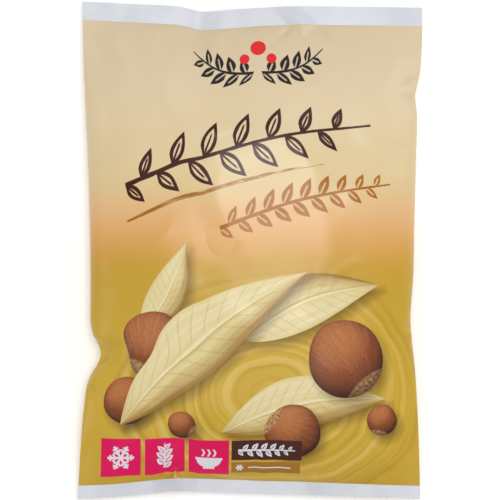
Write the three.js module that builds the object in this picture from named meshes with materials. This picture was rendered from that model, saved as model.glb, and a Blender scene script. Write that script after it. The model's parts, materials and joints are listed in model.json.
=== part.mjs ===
// A sealed one-kilogram pillow bag of frozen food, lying on its back.
//
// A single web of film is folded into a tube, its two edges are welded into a fin that lies
// folded against the back wall, and the two ends are welded flat into white seal bands.
// Ten whole king oyster mushrooms lie inside, head to tail, in two rows.
//
// Millimetres. +X is the bag's width, +Y runs from the bottom seal to the top seal, and +Z
// is up, out of the printed front. The bag rests on z = 0.
//
// Two shares name a place on the film: `across` runs from -1 at the left side fold to 1 at the
// right one, and `along` from -1 at the bottom weld to 1 at the top weld.

import * as THREE from "three";
import { mergeVertices } from "three/addons/utils/BufferGeometryUtils.js";

// Film and seals
const WALL = 0.6; // one ply of film, drawn thicker than the real 0.1 mm
const GAP = 0.3; // clearance between pieces that touch
const TOP_SEAL = 13;
const BOTTOM_SEAL = 9.2;
const SEAL_PLIES = 1.2; // both walls welded together
const SEAL_DROOP = 1.5; // how far a seal's cut edge hangs below its weld

// The filled shape
const FOLD_HEIGHT = 21; // side folds above the surface, at mid length
const FOLD_FADE = 3; // how late the folds come down to the height of the welds
const BACK_PRESS = 2.2; // how far the back would bulge below the surface, which flattens it
// How each wall bulges from the folds. Fullness and ease shape it from weld to weld, and
// squareness shapes its section.
const FRONT_BULGE = { height: 28, fullness: 2.6, ease: 0.75, squareness: 2.2 };
const BACK_BULGE = { height: FOLD_HEIGHT + BACK_PRESS, fullness: 3.5, ease: 0.8, squareness: 2.8 };
// The section is round-shouldered at mid length and lens-shaped near the welds.
const SHOULDER = { middle: 0.5, end: 1, fade: 2.5 };
// At the welds both walls lie flat on each other, a ply apart.
const PLY_ON = { from: 0.5, to: 0.95, least: 0.05 };

// Heights of the welded ends: each seal waves gently, and steps where its edge steps.
const TOP_WAVE = { height: 12.5, wave: 2.2, turn: 2.6, phase: 0.6, stepAt: -0.31, step: -2.4, reach: 0.07 };
const BOTTOM_WAVE = { height: 11.5, wave: 1.8, turn: 2.2, phase: -0.9, stepAt: -0.44, step: 3, reach: 0.09 };

// The back fin, folded over to +X in a shallow trough of the back wall
const FIN_WIDTH = 12;
const FIN_PLIES = 0.9;
const FIN_LIFT = 0.1; // its outer face above the surface
const FIN_START = 0.8; // the fin leaves the back wall just off the centre line
const FIN_END = 0.985; // how far along it runs towards the welds
const TROUGH = FIN_LIFT + FIN_PLIES + GAP;
const TROUGH_SLOPE = 2;

// The outline seen from the front. The filled bag draws in at mid length.
const NOMINAL_HALF_WIDTH = 119;
const LEFT_EDGE = [
  [-176, -120.9], [-126, -117.6], [-88, -113.9], [-35, -111.4], [42, -112.5], [126, -116.1],
  [176, -117.9],
];
const RIGHT_EDGE = [
  [-176, 119.5], [-126, 117.8], [-70, 115.2], [0, 114.6], [50, 115.7], [104, 117.6],
  [143, 120.4], [176, 121],
];
const TOP_EDGE = [
  [-121, 174.6], [-84, 172.6], [-52, 170.8], [-43, 168.9], [-35, 167.2], [-7, 168.9],
  [28, 170.6], [70, 170.3], [121, 169.9],
];
const BOTTOM_EDGE = [
  [-121, -174.7], [-98, -173.8], [-70, -171.2], [-52, -168.9], [-34, -169.8], [0, -170.9],
  [36, -171.8], [70, -173.1], [121, -174.7],
];
// Its side folds are dented: a deep pinch low on the left, shallow dents high and low on the right.
const DENTS = [
  { side: -1, y: -73, depth: 8.8, width: 13 },
  { side: 1, y: 108, depth: 2.2, width: 10 },
  { side: 1, y: -50, depth: 2.6, width: 24 },
];
const DENT_REACH = 26; // how far a dent pulls the film in from the fold
// Soft folds that run in from the dents, and from a step in each seal. Depth below 0 stands up.
const PINCHES = [
  { from: [-106, -72], to: [-78, -66], depth: 5, width: 7 },
  { from: [117, 106], to: [100, 110], depth: 2.5, width: 6 },
  { from: [112, -53], to: [98, -58], depth: 1.6, width: 4 },
  { from: [-52, -158], to: [-52, -146], depth: -2.6, width: 5 },
  { from: [35, 157], to: [36, 147], depth: -1.8, width: 5 },
];
const PINCH_ROOM = 8; // a pinch is shallower where the wall bulges less than this

// The mushrooms
const COLUMNS = 5;
const COLUMN_PITCH = 40;
const MUSHROOM_LENGTH = 108;
const ROW_START = 4; // clear space from the middle of the bag to each row
const STEM_RADIUS = { outer: 15, inner: 18 }; // by column
const CAP_RADIUS = { outer: 17.5, inner: 21 };
const STEM_BEND = 0.5;
const FILM_CLEARANCE = 1.1;
const MUSHROOM_SIDES = 16;
const GILLS = { depth: 0.07, from: [0.7, 0.8], to: [0.88, 0.91] }; // as shares of radius and length

// Mesh steps
const ACROSS_STEPS = 24;
const ALONG_STEPS = 30;
// Steps across a wall are closer together near the side folds, where it turns over.
const EDGE_CROWDING = 0.85;

const lerp = (a, b, t) => a + (b - a) * t;
const clamp = (v, low, high) => Math.min(high, Math.max(low, v));
const hill = (v, width) => Math.exp(-((v / width) ** 2));
const smooth = (low, high, v) => {
  const t = clamp((v - low) / (high - low), 0, 1);
  return t * t * (3 - 2 * t);
};
const spread = (count, low = -1, high = 1) =>
  Array.from({ length: count + 1 }, (_, i) => lerp(low, high, i / count));

// A smooth curve through [position, value] points, as a function of position.
function through(points) {
  const slope = (i) => {
    const a = points[Math.max(i - 1, 0)];
    const b = points[Math.min(i + 1, points.length - 1)];
    return (b[1] - a[1]) / (b[0] - a[0]);
  };
  return (at) => {
    const last = points.length - 2;
    const next = points.findIndex((p) => p[0] > at);
    const i = clamp((next < 0 ? points.length : next) - 1, 0, last);
    const [a, b] = [points[i], points[i + 1]];
    const h = b[0] - a[0];
    const t = clamp((at - a[0]) / h, 0, 1);
    const [t2, t3] = [t * t, t * t * t];
    return (
      (2 * t3 - 3 * t2 + 1) * a[1] + (t3 - 2 * t2 + t) * h * slope(i) +
      (3 * t2 - 2 * t3) * b[1] + (t3 - t2) * h * slope(i + 1)
    );
  };
}

const leftEdge = through(LEFT_EDGE);
const rightEdge = through(RIGHT_EDGE);
const topEdge = through(TOP_EDGE);
const bottomEdge = through(BOTTOM_EDGE);
const topWeld = (x) => topEdge(x) - TOP_SEAL;
const bottomWeld = (x) => bottomEdge(x) + BOTTOM_SEAL;

// How far the dents of one side move the film in X, at a distance from that side's fold.
function dent(side, y, fromFold) {
  const pull = DENTS.filter((d) => d.side === side).reduce(
    (sum, d) => sum + d.depth * hill(y - d.y, d.width),
    0,
  );
  return -side * pull * Math.exp(-fromFold / DENT_REACH);
}

// X of a place across, at a height y of the outline.
function planX(across, y) {
  const x = lerp(leftEdge(y), rightEdge(y), (across + 1) / 2);
  return x + dent(-1, y, x - leftEdge(y)) + dent(1, y, rightEdge(y) - x);
}

// The other way round: the place across that planX puts at x. Each step undoes the dents better.
function acrossAt(x, y) {
  const steps = 6;
  let undented = x;
  for (let step = 0; step < steps; step += 1) {
    undented = x - dent(-1, y, undented - leftEdge(y)) - dent(1, y, rightEdge(y) - undented);
  }
  return clamp((2 * (undented - leftEdge(y))) / (rightEdge(y) - leftEdge(y)) - 1, -1, 1);
}

// A place on the film in plan.
function plan(across, along) {
  const nearX = across * NOMINAL_HALF_WIDTH;
  const y = lerp(bottomWeld(nearX), topWeld(nearX), (along + 1) / 2);
  return new THREE.Vector2(planX(across, y), y);
}

const sealHeight = (seal, across) =>
  seal.height + seal.wave * Math.sin(seal.turn * across + seal.phase) +
  seal.step * hill(across - seal.stepAt, seal.reach);

// Middle surface, on which the two walls meet at the side folds and at the welds.
function foldHeight(across, along) {
  const end = sealHeight(along > 0 ? TOP_WAVE : BOTTOM_WAVE, across);
  return lerp(FOLD_HEIGHT, end, Math.abs(along) ** FOLD_FADE);
}

const plyOffset = (along) =>
  GAP / 2 + PLY_ON.least + WALL * smooth(PLY_ON.from, PLY_ON.to, Math.abs(along));

function bulge({ height, fullness, ease, squareness }, across, along) {
  const run = Math.max(0, 1 - Math.abs(along) ** fullness) ** ease;
  const shoulder = lerp(SHOULDER.middle, SHOULDER.end, Math.abs(along) ** SHOULDER.fade);
  return height * run * Math.max(0, 1 - Math.abs(across) ** squareness) ** shoulder;
}

// Height that the pinches add at a place in plan. Each is deepest where it starts.
function pinch(x, y) {
  return PINCHES.reduce((sum, { from, to, depth, width }) => {
    const [dx, dy] = [to[0] - from[0], to[1] - from[1]];
    const length = Math.hypot(dx, dy);
    const run = ((x - from[0]) * dx + (y - from[1]) * dy) / length;
    const aside = ((x - from[0]) * dy - (y - from[1]) * dx) / length;
    return sum - depth * hill(aside, width) * (1 - smooth(0, length, run));
  }, 0);
}

function frontHeight(across, along) {
  const { x, y } = plan(across, along);
  const crown = bulge(FRONT_BULGE, across, along);
  const room = Math.min(1, crown / PINCH_ROOM);
  return foldHeight(across, along) + plyOffset(along) + crown + pinch(x, y) * room;
}

function backHeight(across, along) {
  return Math.max(0, foldHeight(across, along) - plyOffset(along) - bulge(BACK_BULGE, across, along));
}

// The trough runs with the film's own centre line, so its edges are places across.
const TROUGH_EDGES = [
  FIN_START - GAP - TROUGH_SLOPE,
  FIN_START - GAP,
  FIN_START + FIN_WIDTH + GAP,
  FIN_START + FIN_WIDTH + GAP + TROUGH_SLOPE,
].map((fromCentre) => fromCentre / NOMINAL_HALF_WIDTH);

function troughedBackHeight(across, along) {
  const [start, full, fullEnd, end] = TROUGH_EDGES;
  const share = smooth(start, full, across) * (1 - smooth(fullEnd, end, across));
  return backHeight(across, along) + TROUGH * share;
}

// Both walls and both seals share their steps across the bag, so that they meet edge to edge.
// The steps take in the edges of the fin's trough, and none is so close that it makes slivers.
const LEAST_STEP = 0.02;
const crowded = (q) => lerp(q, Math.sin((q * Math.PI) / 2), EDGE_CROWDING);
const besideTrough = (across) =>
  across < TROUGH_EDGES[0] - LEAST_STEP || across > TROUGH_EDGES[3] + LEAST_STEP;
const ACROSS = [...spread(ACROSS_STEPS).map(crowded).filter(besideTrough), ...TROUGH_EDGES].sort(
  (a, b) => a - b,
);
const ALONG = spread(ALONG_STEPS);

// Two grids of points become one closed solid: `outer` faces out where rows run to +X and
// columns to +Y, `inner` is its other face, and a rim joins their edges.
function closedShell(outer, inner) {
  const rows = outer.length;
  const columns = outer[0].length;
  const points = [...outer.flat(), ...inner.flat()];
  const at = (side, r, c) => side * rows * columns + r * columns + c;
  const faces = [];
  const quad = (a, b, c, d) => faces.push(a, b, c, a, c, d);
  for (let r = 0; r + 1 < rows; r += 1) {
    for (let c = 0; c + 1 < columns; c += 1) {
      quad(at(0, r, c), at(0, r, c + 1), at(0, r + 1, c + 1), at(0, r + 1, c));
      quad(at(1, r, c + 1), at(1, r, c), at(1, r + 1, c), at(1, r + 1, c + 1));
    }
  }
  for (let c = 0; c + 1 < columns; c += 1) {
    quad(at(1, 0, c), at(1, 0, c + 1), at(0, 0, c + 1), at(0, 0, c));
    quad(at(0, rows - 1, c), at(0, rows - 1, c + 1), at(1, rows - 1, c + 1), at(1, rows - 1, c));
  }
  for (let r = 0; r + 1 < rows; r += 1) {
    quad(at(0, r, 0), at(0, r + 1, 0), at(1, r + 1, 0), at(1, r, 0));
    quad(at(1, r, columns - 1), at(1, r + 1, columns - 1), at(0, r + 1, columns - 1), at(0, r, columns - 1));
  }
  const geometry = new THREE.BufferGeometry().setFromPoints(points);
  geometry.setIndex(faces);
  return geometry;
}

// The inner face of a wall: each point moves by `distance` along the grid's own normal, which
// points up, and `keepClear` then holds it on its own side of the middle surface.
function innerGrid(grid, distance, keepClear) {
  const [lastRow, lastColumn] = [grid.length - 1, grid[0].length - 1];
  return grid.map((row, r) =>
    row.map((point, c) => {
      const alongX = grid[r][Math.min(c + 1, lastColumn)].clone().sub(grid[r][Math.max(c - 1, 0)]);
      const alongY = grid[Math.min(r + 1, lastRow)][c].clone().sub(grid[Math.max(r - 1, 0)][c]);
      const normal = alongX.cross(alongY).normalize();
      const moved = point.clone().addScaledVector(normal, distance);
      moved.z = keepClear(moved.z, r, c);
      return moved;
    }),
  );
}

function wallGrid(height) {
  return ALONG.map((along) =>
    ACROSS.map((across) => {
      const { x, y } = plan(across, along);
      return new THREE.Vector3(x, y, height(across, along));
    }),
  );
}

function frontWall() {
  const outer = wallGrid(frontHeight);
  const above = (z, r, c) => Math.max(z, foldHeight(ACROSS[c], ALONG[r]) + GAP / 2);
  return closedShell(outer, innerGrid(outer, -WALL, above));
}

function backWall() {
  const outer = wallGrid(troughedBackHeight);
  const below = (z, r, c) => Math.min(z, foldHeight(ACROSS[c], ALONG[r]) - GAP / 2);
  return closedShell(innerGrid(outer, WALL, below), outer);
}

// A welded end: a flat band that follows the weld line and droops a little to its cut edge.
function sealBand(weld, cut, seal) {
  const face = (lift) =>
    [0, 0.5, 1].map((out) =>
      ACROSS.map((across) => {
        const nearX = across * NOMINAL_HALF_WIDTH;
        const clear = Math.sign(cut(nearX) - weld(nearX)) * GAP;
        const y = lerp(weld(nearX) + clear, cut(nearX), out);
        const z = sealHeight(seal, across) - SEAL_DROOP * out + lift;
        return new THREE.Vector3(planX(across, y), y, z);
      }),
    );
  const upwards = cut(0) > weld(0);
  const [top, bottom] = [face(SEAL_PLIES / 2), face(-SEAL_PLIES / 2)];
  return upwards ? closedShell(top, bottom) : closedShell(top.reverse(), bottom.reverse());
}

// The fin lies in the back wall's trough, from weld to weld, one clearance below the film.
function backFin() {
  const face = (lift) =>
    spread(ALONG_STEPS, -FIN_END, FIN_END).map((along) =>
      [0, 0.5, 1].map((share) => {
        const across = (FIN_START + share * FIN_WIDTH) / NOMINAL_HALF_WIDTH;
        const { x, y } = plan(across, along);
        return new THREE.Vector3(x, y, backHeight(across, along) + lift);
      }),
    );
  return closedShell(face(FIN_LIFT + FIN_PLIES), face(FIN_LIFT));
}

// Free height between the two walls, at a place in plan.
function freeSpace(x, y) {
  const along = clamp((2 * (y - bottomWeld(x))) / (topWeld(x) - bottomWeld(x)) - 1, -1, 1);
  const across = acrossAt(x, y);
  return {
    ceiling: frontHeight(across, along) - WALL - FILM_CLEARANCE,
    floor: backHeight(across, along) + TROUGH + WALL + FILM_CLEARANCE,
  };
}

// One whole mushroom: a stout stem, gills that run down from under the cap, and a thin-rimmed
// cap. It is turned as a lathe form about +Y, then ribbed, bent and pressed to fit the bag.
function mushroom({ x, y, heading, stem, cap, bend }) {
  const profile = [
    [0, 0], [0.015, 0.55 * stem], [0.06, 0.85 * stem], [0.18, stem], [0.34, stem],
    [0.52, 0.92 * stem], [0.68, 0.9 * stem], [0.78, 0.97 * stem], [0.86, lerp(stem, cap, 0.55)],
    [0.905, 0.96 * cap], [0.93, cap], [0.955, 0.94 * cap], [0.98, 0.72 * cap],
    [0.995, 0.36 * cap], [1, 0],
  ];
  const outline = profile.map(([share, radius]) => new THREE.Vector2(radius, share * MUSHROOM_LENGTH));
  const lathe = new THREE.LatheGeometry(outline, MUSHROOM_SIDES);
  lathe.deleteAttribute("normal");
  lathe.deleteAttribute("uv");
  const geometry = mergeVertices(lathe, 1e-4);
  const place = geometry.getAttribute("position");
  for (let i = 0; i < place.count; i += 1) {
    const p = new THREE.Vector3().fromBufferAttribute(place, i);
    const share = p.y / MUSHROOM_LENGTH;
    const side = Math.round((Math.atan2(p.x, p.z) / (2 * Math.PI)) * MUSHROOM_SIDES);
    const inGills = smooth(...GILLS.from, share) * (1 - smooth(...GILLS.to, share));
    const rib = 1 - GILLS.depth * inGills * (Math.abs(side) % 2);
    const placeY = y + heading * p.y;
    const axisX = x + bend * Math.sin(Math.PI * share);
    const placeX = axisX + heading * p.x * rib;
    const axis = freeSpace(axisX, placeY);
    const here = freeSpace(placeX, placeY);
    const widest = Math.max(Math.hypot(p.x, p.z), stem);
    const press = Math.min(1, (axis.ceiling - axis.floor) / (2 * widest));
    const round = (axis.ceiling + axis.floor) / 2 + p.z * rib * press;
    place.setXYZ(i, placeX, placeY, clamp(round, here.floor, here.ceiling));
  }
  return geometry;
}

const PRINTED_FRONT = { color: "#d7b76f", roughness: 0.42, metalness: 0 };
const PRINTED_BACK = { color: "#dcc48e", roughness: 0.42, metalness: 0 };
const WHITE_SEAL = { color: "#d9dce1", roughness: 0.4, metalness: 0 };
const MUSHROOM_FLESH = { color: "#e6d9b8", roughness: 0.7, metalness: 0 };

const bag = new THREE.Group();
function add(name, geometry, finish) {
  const mesh = new THREE.Mesh(geometry, new THREE.MeshStandardMaterial(finish));
  mesh.name = name;
  bag.add(mesh);
}

add("front_wall", frontWall(), PRINTED_FRONT);
add("back_wall", backWall(), PRINTED_BACK);
add("top_seal", sealBand(topWeld, topEdge, TOP_WAVE), WHITE_SEAL);
add("bottom_seal", sealBand(bottomWeld, bottomEdge, BOTTOM_WAVE), WHITE_SEAL);
add("back_fin_seal", backFin(), PRINTED_BACK);

// Neighbours in a row lie head to tail, and the two rows start from the bag's middle.
for (const away of [1, -1]) {
  for (let column = 0; column < COLUMNS; column += 1) {
    const number = (away > 0 ? 0 : COLUMNS) + column + 1;
    const size = column === 0 || column === COLUMNS - 1 ? "outer" : "inner";
    const capOutwards = number % 2 === 1;
    const start = capOutwards ? ROW_START : ROW_START + MUSHROOM_LENGTH;
    add(
      `mushroom_${String(number).padStart(2, "0")}`,
      mushroom({
        x: (column - (COLUMNS - 1) / 2) * COLUMN_PITCH,
        y: away * start,
        heading: capOutwards ? away : -away,
        stem: STEM_RADIUS[size],
        cap: CAP_RADIUS[size],
        bend: number % 3 === 0 ? -STEM_BEND : STEM_BEND,
      }),
      MUSHROOM_FLESH,
    );
  }
}

// The origin is the middle of the bag's own box, on the surface that it rests on.
const box = new THREE.Box3().setFromObject(bag);
const middle = box.getCenter(new THREE.Vector3());
bag.position.set(-middle.x, -middle.y, -box.min.z);

export default bag;
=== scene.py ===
# %% [markdown]
# A pillow bag of frozen food is one web of printed film, folded into a tube and welded flat at
# both ends. This lesson dresses the packed model of such a bag. The walls, seals, fin and
# contents are built again as fine meshes round the same formulas as the model, so that each
# piece lies where the model says. The print, its gloss and the creases are procedural.

# %% Load the packed model
import json
import math

import bpy
import numpy as np
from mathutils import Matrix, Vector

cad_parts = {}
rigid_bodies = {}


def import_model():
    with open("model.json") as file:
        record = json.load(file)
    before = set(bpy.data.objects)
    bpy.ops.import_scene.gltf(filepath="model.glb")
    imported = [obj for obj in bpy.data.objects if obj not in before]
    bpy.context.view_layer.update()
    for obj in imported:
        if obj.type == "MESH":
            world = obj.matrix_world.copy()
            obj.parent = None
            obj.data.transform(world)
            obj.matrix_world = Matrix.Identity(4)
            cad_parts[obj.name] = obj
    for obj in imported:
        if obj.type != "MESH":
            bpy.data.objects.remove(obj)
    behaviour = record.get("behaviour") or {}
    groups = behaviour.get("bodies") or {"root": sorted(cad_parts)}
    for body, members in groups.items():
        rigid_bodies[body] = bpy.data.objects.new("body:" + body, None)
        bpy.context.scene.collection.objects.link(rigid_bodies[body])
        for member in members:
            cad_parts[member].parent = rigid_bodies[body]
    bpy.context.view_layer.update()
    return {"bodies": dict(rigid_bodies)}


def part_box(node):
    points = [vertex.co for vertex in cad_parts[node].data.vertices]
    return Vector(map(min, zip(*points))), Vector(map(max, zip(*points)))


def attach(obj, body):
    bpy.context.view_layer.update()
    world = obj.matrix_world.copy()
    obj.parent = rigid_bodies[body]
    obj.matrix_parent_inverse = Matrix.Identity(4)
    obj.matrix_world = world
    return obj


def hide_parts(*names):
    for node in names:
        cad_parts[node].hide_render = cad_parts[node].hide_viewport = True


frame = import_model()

BODY = next(iter(frame["bodies"]))
MM = 0.001

# %% [markdown]
# The photo was taken from straight above with a long lens, so the camera looks down on the bag.
# A long lens keeps the side folds and the end seals, which lie lower, at nearly the same scale.

# %% Camera
FRAME_WIDTH = 350 * MM  # what the picture spans, at the height of the folds
FRAME_HEIGHT_ABOVE = 16 * MM
LENS = 200
SENSOR = 36
CLIP_END = 50


def placed(name, data):
    """A new object in the scene, at the origin."""
    thing = bpy.data.objects.new(name, data)
    bpy.context.scene.collection.objects.link(thing)
    return thing


camera_data = bpy.data.cameras.new("camera")
camera_data.lens = LENS
camera_data.sensor_width = SENSOR
camera_data.clip_end = CLIP_END
camera = placed("camera", camera_data)
camera.location = (0, 0, FRAME_HEIGHT_ABOVE + FRAME_WIDTH * LENS / SENSOR)
bpy.context.scene.camera = camera
print("camera height in mm:", round(camera.location.z / MM))

# %% [markdown]
# The outline is given by a few points on each edge. The filled bag draws in at mid length, and
# its side folds are dented. These are the model's own values.

# %% Outline
SEAL_DEPTH = {1: 13, -1: 9.2}  # by end: 1 is the top and -1 the bottom
HALF_WIDTH = 119
LEFT_EDGE = [
    (-176, -120.9), (-126, -117.6), (-88, -113.9), (-35, -111.4), (42, -112.5), (126, -116.1),
    (176, -117.9),
]
RIGHT_EDGE = [
    (-176, 119.5), (-126, 117.8), (-70, 115.2), (0, 114.6), (50, 115.7), (104, 117.6),
    (143, 120.4), (176, 121),
]
TOP_EDGE = [
    (-121, 174.6), (-84, 172.6), (-52, 170.8), (-43, 168.9), (-35, 167.2), (-7, 168.9),
    (28, 170.6), (70, 170.3), (121, 169.9),
]
BOTTOM_EDGE = [
    (-121, -174.7), (-98, -173.8), (-70, -171.2), (-52, -168.9), (-34, -169.8), (0, -170.9),
    (36, -171.8), (70, -173.1), (121, -174.7),
]
DENTS = [  # side, height, depth, width
    (-1, -73, 8.8, 13),
    (1, 108, 2.2, 10),
    (1, -50, 2.6, 24),
]
DENT_REACH = 26
print("points on the outline:", len(LEFT_EDGE + RIGHT_EDGE + TOP_EDGE + BOTTOM_EDGE))

# %% [markdown]
# A smooth curve runs through the points of each edge. Between these curves, every place on the
# film has two shares: one across, from fold to fold, and one along, from weld to weld. The plan
# turns the two into a place in mm, so that all pieces can be written in the same shares.

# %% The plan


def lerp(a, b, t):
    return a + (b - a) * t


def smooth(low, high, value):
    t = np.clip((value - low) / (high - low), 0, 1)
    return t * t * (3 - 2 * t)


def hill(value, width):
    return np.exp(-((value / width) ** 2))


def through(points):
    """A smooth curve through (position, value) points, as a function of position."""
    at, value = np.array(points, dtype=float).T
    before = np.maximum(np.arange(len(at)) - 1, 0)
    after = np.minimum(np.arange(len(at)) + 1, len(at) - 1)
    slope = (value[after] - value[before]) / (at[after] - at[before])

    def curve(position):
        i = np.clip(np.searchsorted(at, position, side="right") - 1, 0, len(at) - 2)
        step = at[i + 1] - at[i]
        t = np.clip((position - at[i]) / step, 0, 1)
        start = (2 * t**3 - 3 * t**2 + 1) * value[i] + (t**3 - 2 * t**2 + t) * step * slope[i]
        end = (3 * t**2 - 2 * t**3) * value[i + 1] + (t**3 - t**2) * step * slope[i + 1]
        return start + end

    return curve


left_edge = through(LEFT_EDGE)
right_edge = through(RIGHT_EDGE)
cut_edge = {1: through(TOP_EDGE), -1: through(BOTTOM_EDGE)}


def weld(end, x):
    return cut_edge[end](x) - end * SEAL_DEPTH[end]


def dent(side, y, from_fold):
    """How far the dents of one side move the film in X."""
    pull = sum(depth * hill(y - at, width) for on, at, depth, width in DENTS if on == side)
    return -side * pull * np.exp(-from_fold / DENT_REACH)


def plan_x(across, y):
    x = lerp(left_edge(y), right_edge(y), (across + 1) / 2)
    return x + dent(-1, y, x - left_edge(y)) + dent(1, y, right_edge(y) - x)


def plan(across, along):
    """A place on the film, seen from above: both shares run from -1 to 1."""
    near_x = across * HALF_WIDTH
    y = lerp(weld(-1, near_x), weld(1, near_x), (along + 1) / 2)
    return plan_x(across, y), y


print("width at mid length in mm:", round(float(plan(1, 0)[0] - plan(-1, 0)[0]), 1))

# %% [markdown]
# Both walls start from one middle surface, on which they meet at the folds and the welds. The
# end seals wave gently. Where the film is gathered, sharp little tents stand up at the weld and
# run out a short way into the wall: the puckers that every real pillow bag has. A simulated cloth
# would pucker too, but at places of its own, so a table says where each of them stands.

# %% Middle surface
PLY = 0.3
FOLD_HEIGHT = 21
FOLD_FADE = 3
SEAL_DROOP = {1: 0.4, -1: 0.2}
WAVES = {  # height, wave, turn, phase, place of the step, step, its reach
    1: (12.5, 2.2, 2.6, 0.6, -0.31, -2.4, 0.07),
    -1: (11.5, 1.8, 2.2, -0.9, -0.44, 3, 0.09),
}
PUCKERS = [  # end, x, height, half width, reach into the wall, lean in the seal
    (-1, -52.2, 8.5, 15, 9, 0.05),
    (-1, 45, 2.2, 6, 6, 0.1),
    (-1, 22, 2.0, 12, 9, -0.4),
    (-1, 92, 0.9, 9, 9, 0.2),
    (-1, -95, 1.0, 12, 10, -0.3),
    (1, 37, 4.6, 10, 9, -0.9),
    (1, -72, 1.3, 18, 14, 0.3),
    (1, -20, 1.0, 14, 12, -0.2),
    (1, 88, 1.0, 14, 9, 0.4),
]
PUCKER_TIP = 0.35  # how round the ridge of a pucker is
PUCKER_POINT = 0.05  # the least share of its half width that a pucker has at its far end
PUCKER_FADE = 0.8  # how much of its height a pucker loses across the seal


def puckers(end, x, inwards):
    """Height that puckers add, in mm from the weld into the wall. In the seal that is below 0."""
    total = 0
    for on, place, height, half_width, reach, lean in PUCKERS:
        if on != end:
            continue
        share = np.clip(1 - np.maximum(inwards, 0) / reach, 0, 1)
        outwards = np.maximum(-inwards, 0)
        aside = np.hypot(x - place - lean * outwards, PUCKER_TIP) - PUCKER_TIP
        slope = np.clip(1 - aside / (half_width * np.maximum(share, PUCKER_POINT)), 0, 1)
        total = total + height * share * slope * (1 - PUCKER_FADE * outwards / SEAL_DEPTH[end])
    return total


def seal_height(end, across):
    height, wave, turn, phase, step_at, step, reach = WAVES[end]
    return height + wave * np.sin(turn * across + phase) + step * hill(across - step_at, reach)


def gathers(across, along):
    """Height that the puckers add to the walls."""
    x, y = plan(across, along)
    inwards = (1 - np.abs(along)) * (weld(1, x) - weld(-1, x)) / 2
    return np.where(along > 0, puckers(1, x, inwards), puckers(-1, x, inwards))


def middle_height(across, along):
    end_height = np.where(along > 0, seal_height(1, across), seal_height(-1, across))
    return lerp(FOLD_HEIGHT, end_height, np.abs(along) ** FOLD_FADE) + gathers(across, along)


print("top and bottom seal's middle in mm:", [round(float(seal_height(end, 0)), 1) for end in (1, -1)])

# %% [markdown]
# Each wall bulges from the middle surface. The front is a dome, and the back is pressed flat
# where the bag lies on it, with a shallow trough that holds the fin. Inflating a cloth would give
# much the same pillow. A formula gives just the model's one, point for point, and at once.

# %% The two walls
FRONT_BULGE = (28, 2.6, 0.75, 2.2)  # height, fullness, ease, squareness
BACK_PRESS = 2.2
BACK_BULGE = (FOLD_HEIGHT + BACK_PRESS, 3.5, 0.8, 2.8)
SHOULDER = (0.5, 1, 2.5)
PLY_PARTS = (0.5, 0.95)  # along: the plies part here, for the film to turn round the fold
FIN_START = 0.8
FIN_WIDTH = 12
TROUGH = 1.3
TROUGH_SLOPE = 2
TROUGH_EDGE = 0.3


def bulge(shape, across, along):
    height, fullness, ease, squareness = shape
    run = np.maximum(0, 1 - np.abs(along) ** fullness) ** ease
    shoulder = lerp(SHOULDER[0], SHOULDER[1], np.abs(along) ** SHOULDER[2])
    return height * run * np.maximum(0, 1 - np.abs(across) ** squareness) ** shoulder


def ply(along):
    return PLY * smooth(*PLY_PARTS, np.abs(along))


def trough(across):
    x = across * HALF_WIDTH
    start = FIN_START - TROUGH_EDGE
    end = FIN_START + FIN_WIDTH + TROUGH_EDGE
    return TROUGH * smooth(start - TROUGH_SLOPE, start, x) * (1 - smooth(end, end + TROUGH_SLOPE, x))


def front_height(across, along):
    return middle_height(across, along) + ply(along) + bulge(FRONT_BULGE, across, along)


def back_height(across, along):
    return np.maximum(0, middle_height(across, along) - ply(along) - bulge(BACK_BULGE, across, along))


print("crown of the front in mm:", round(float(front_height(np.array(0.0), np.array(0.0))), 1))

# %% [markdown]
# Creases make film look like film. Each one is a line on the plan with a depth and a width. It
# has a sharp bottom and fades at its far end, as a crease does where the film is taut again. They
# could be sculpted, but lines in a table can be read, moved and made deeper one by one.

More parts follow.
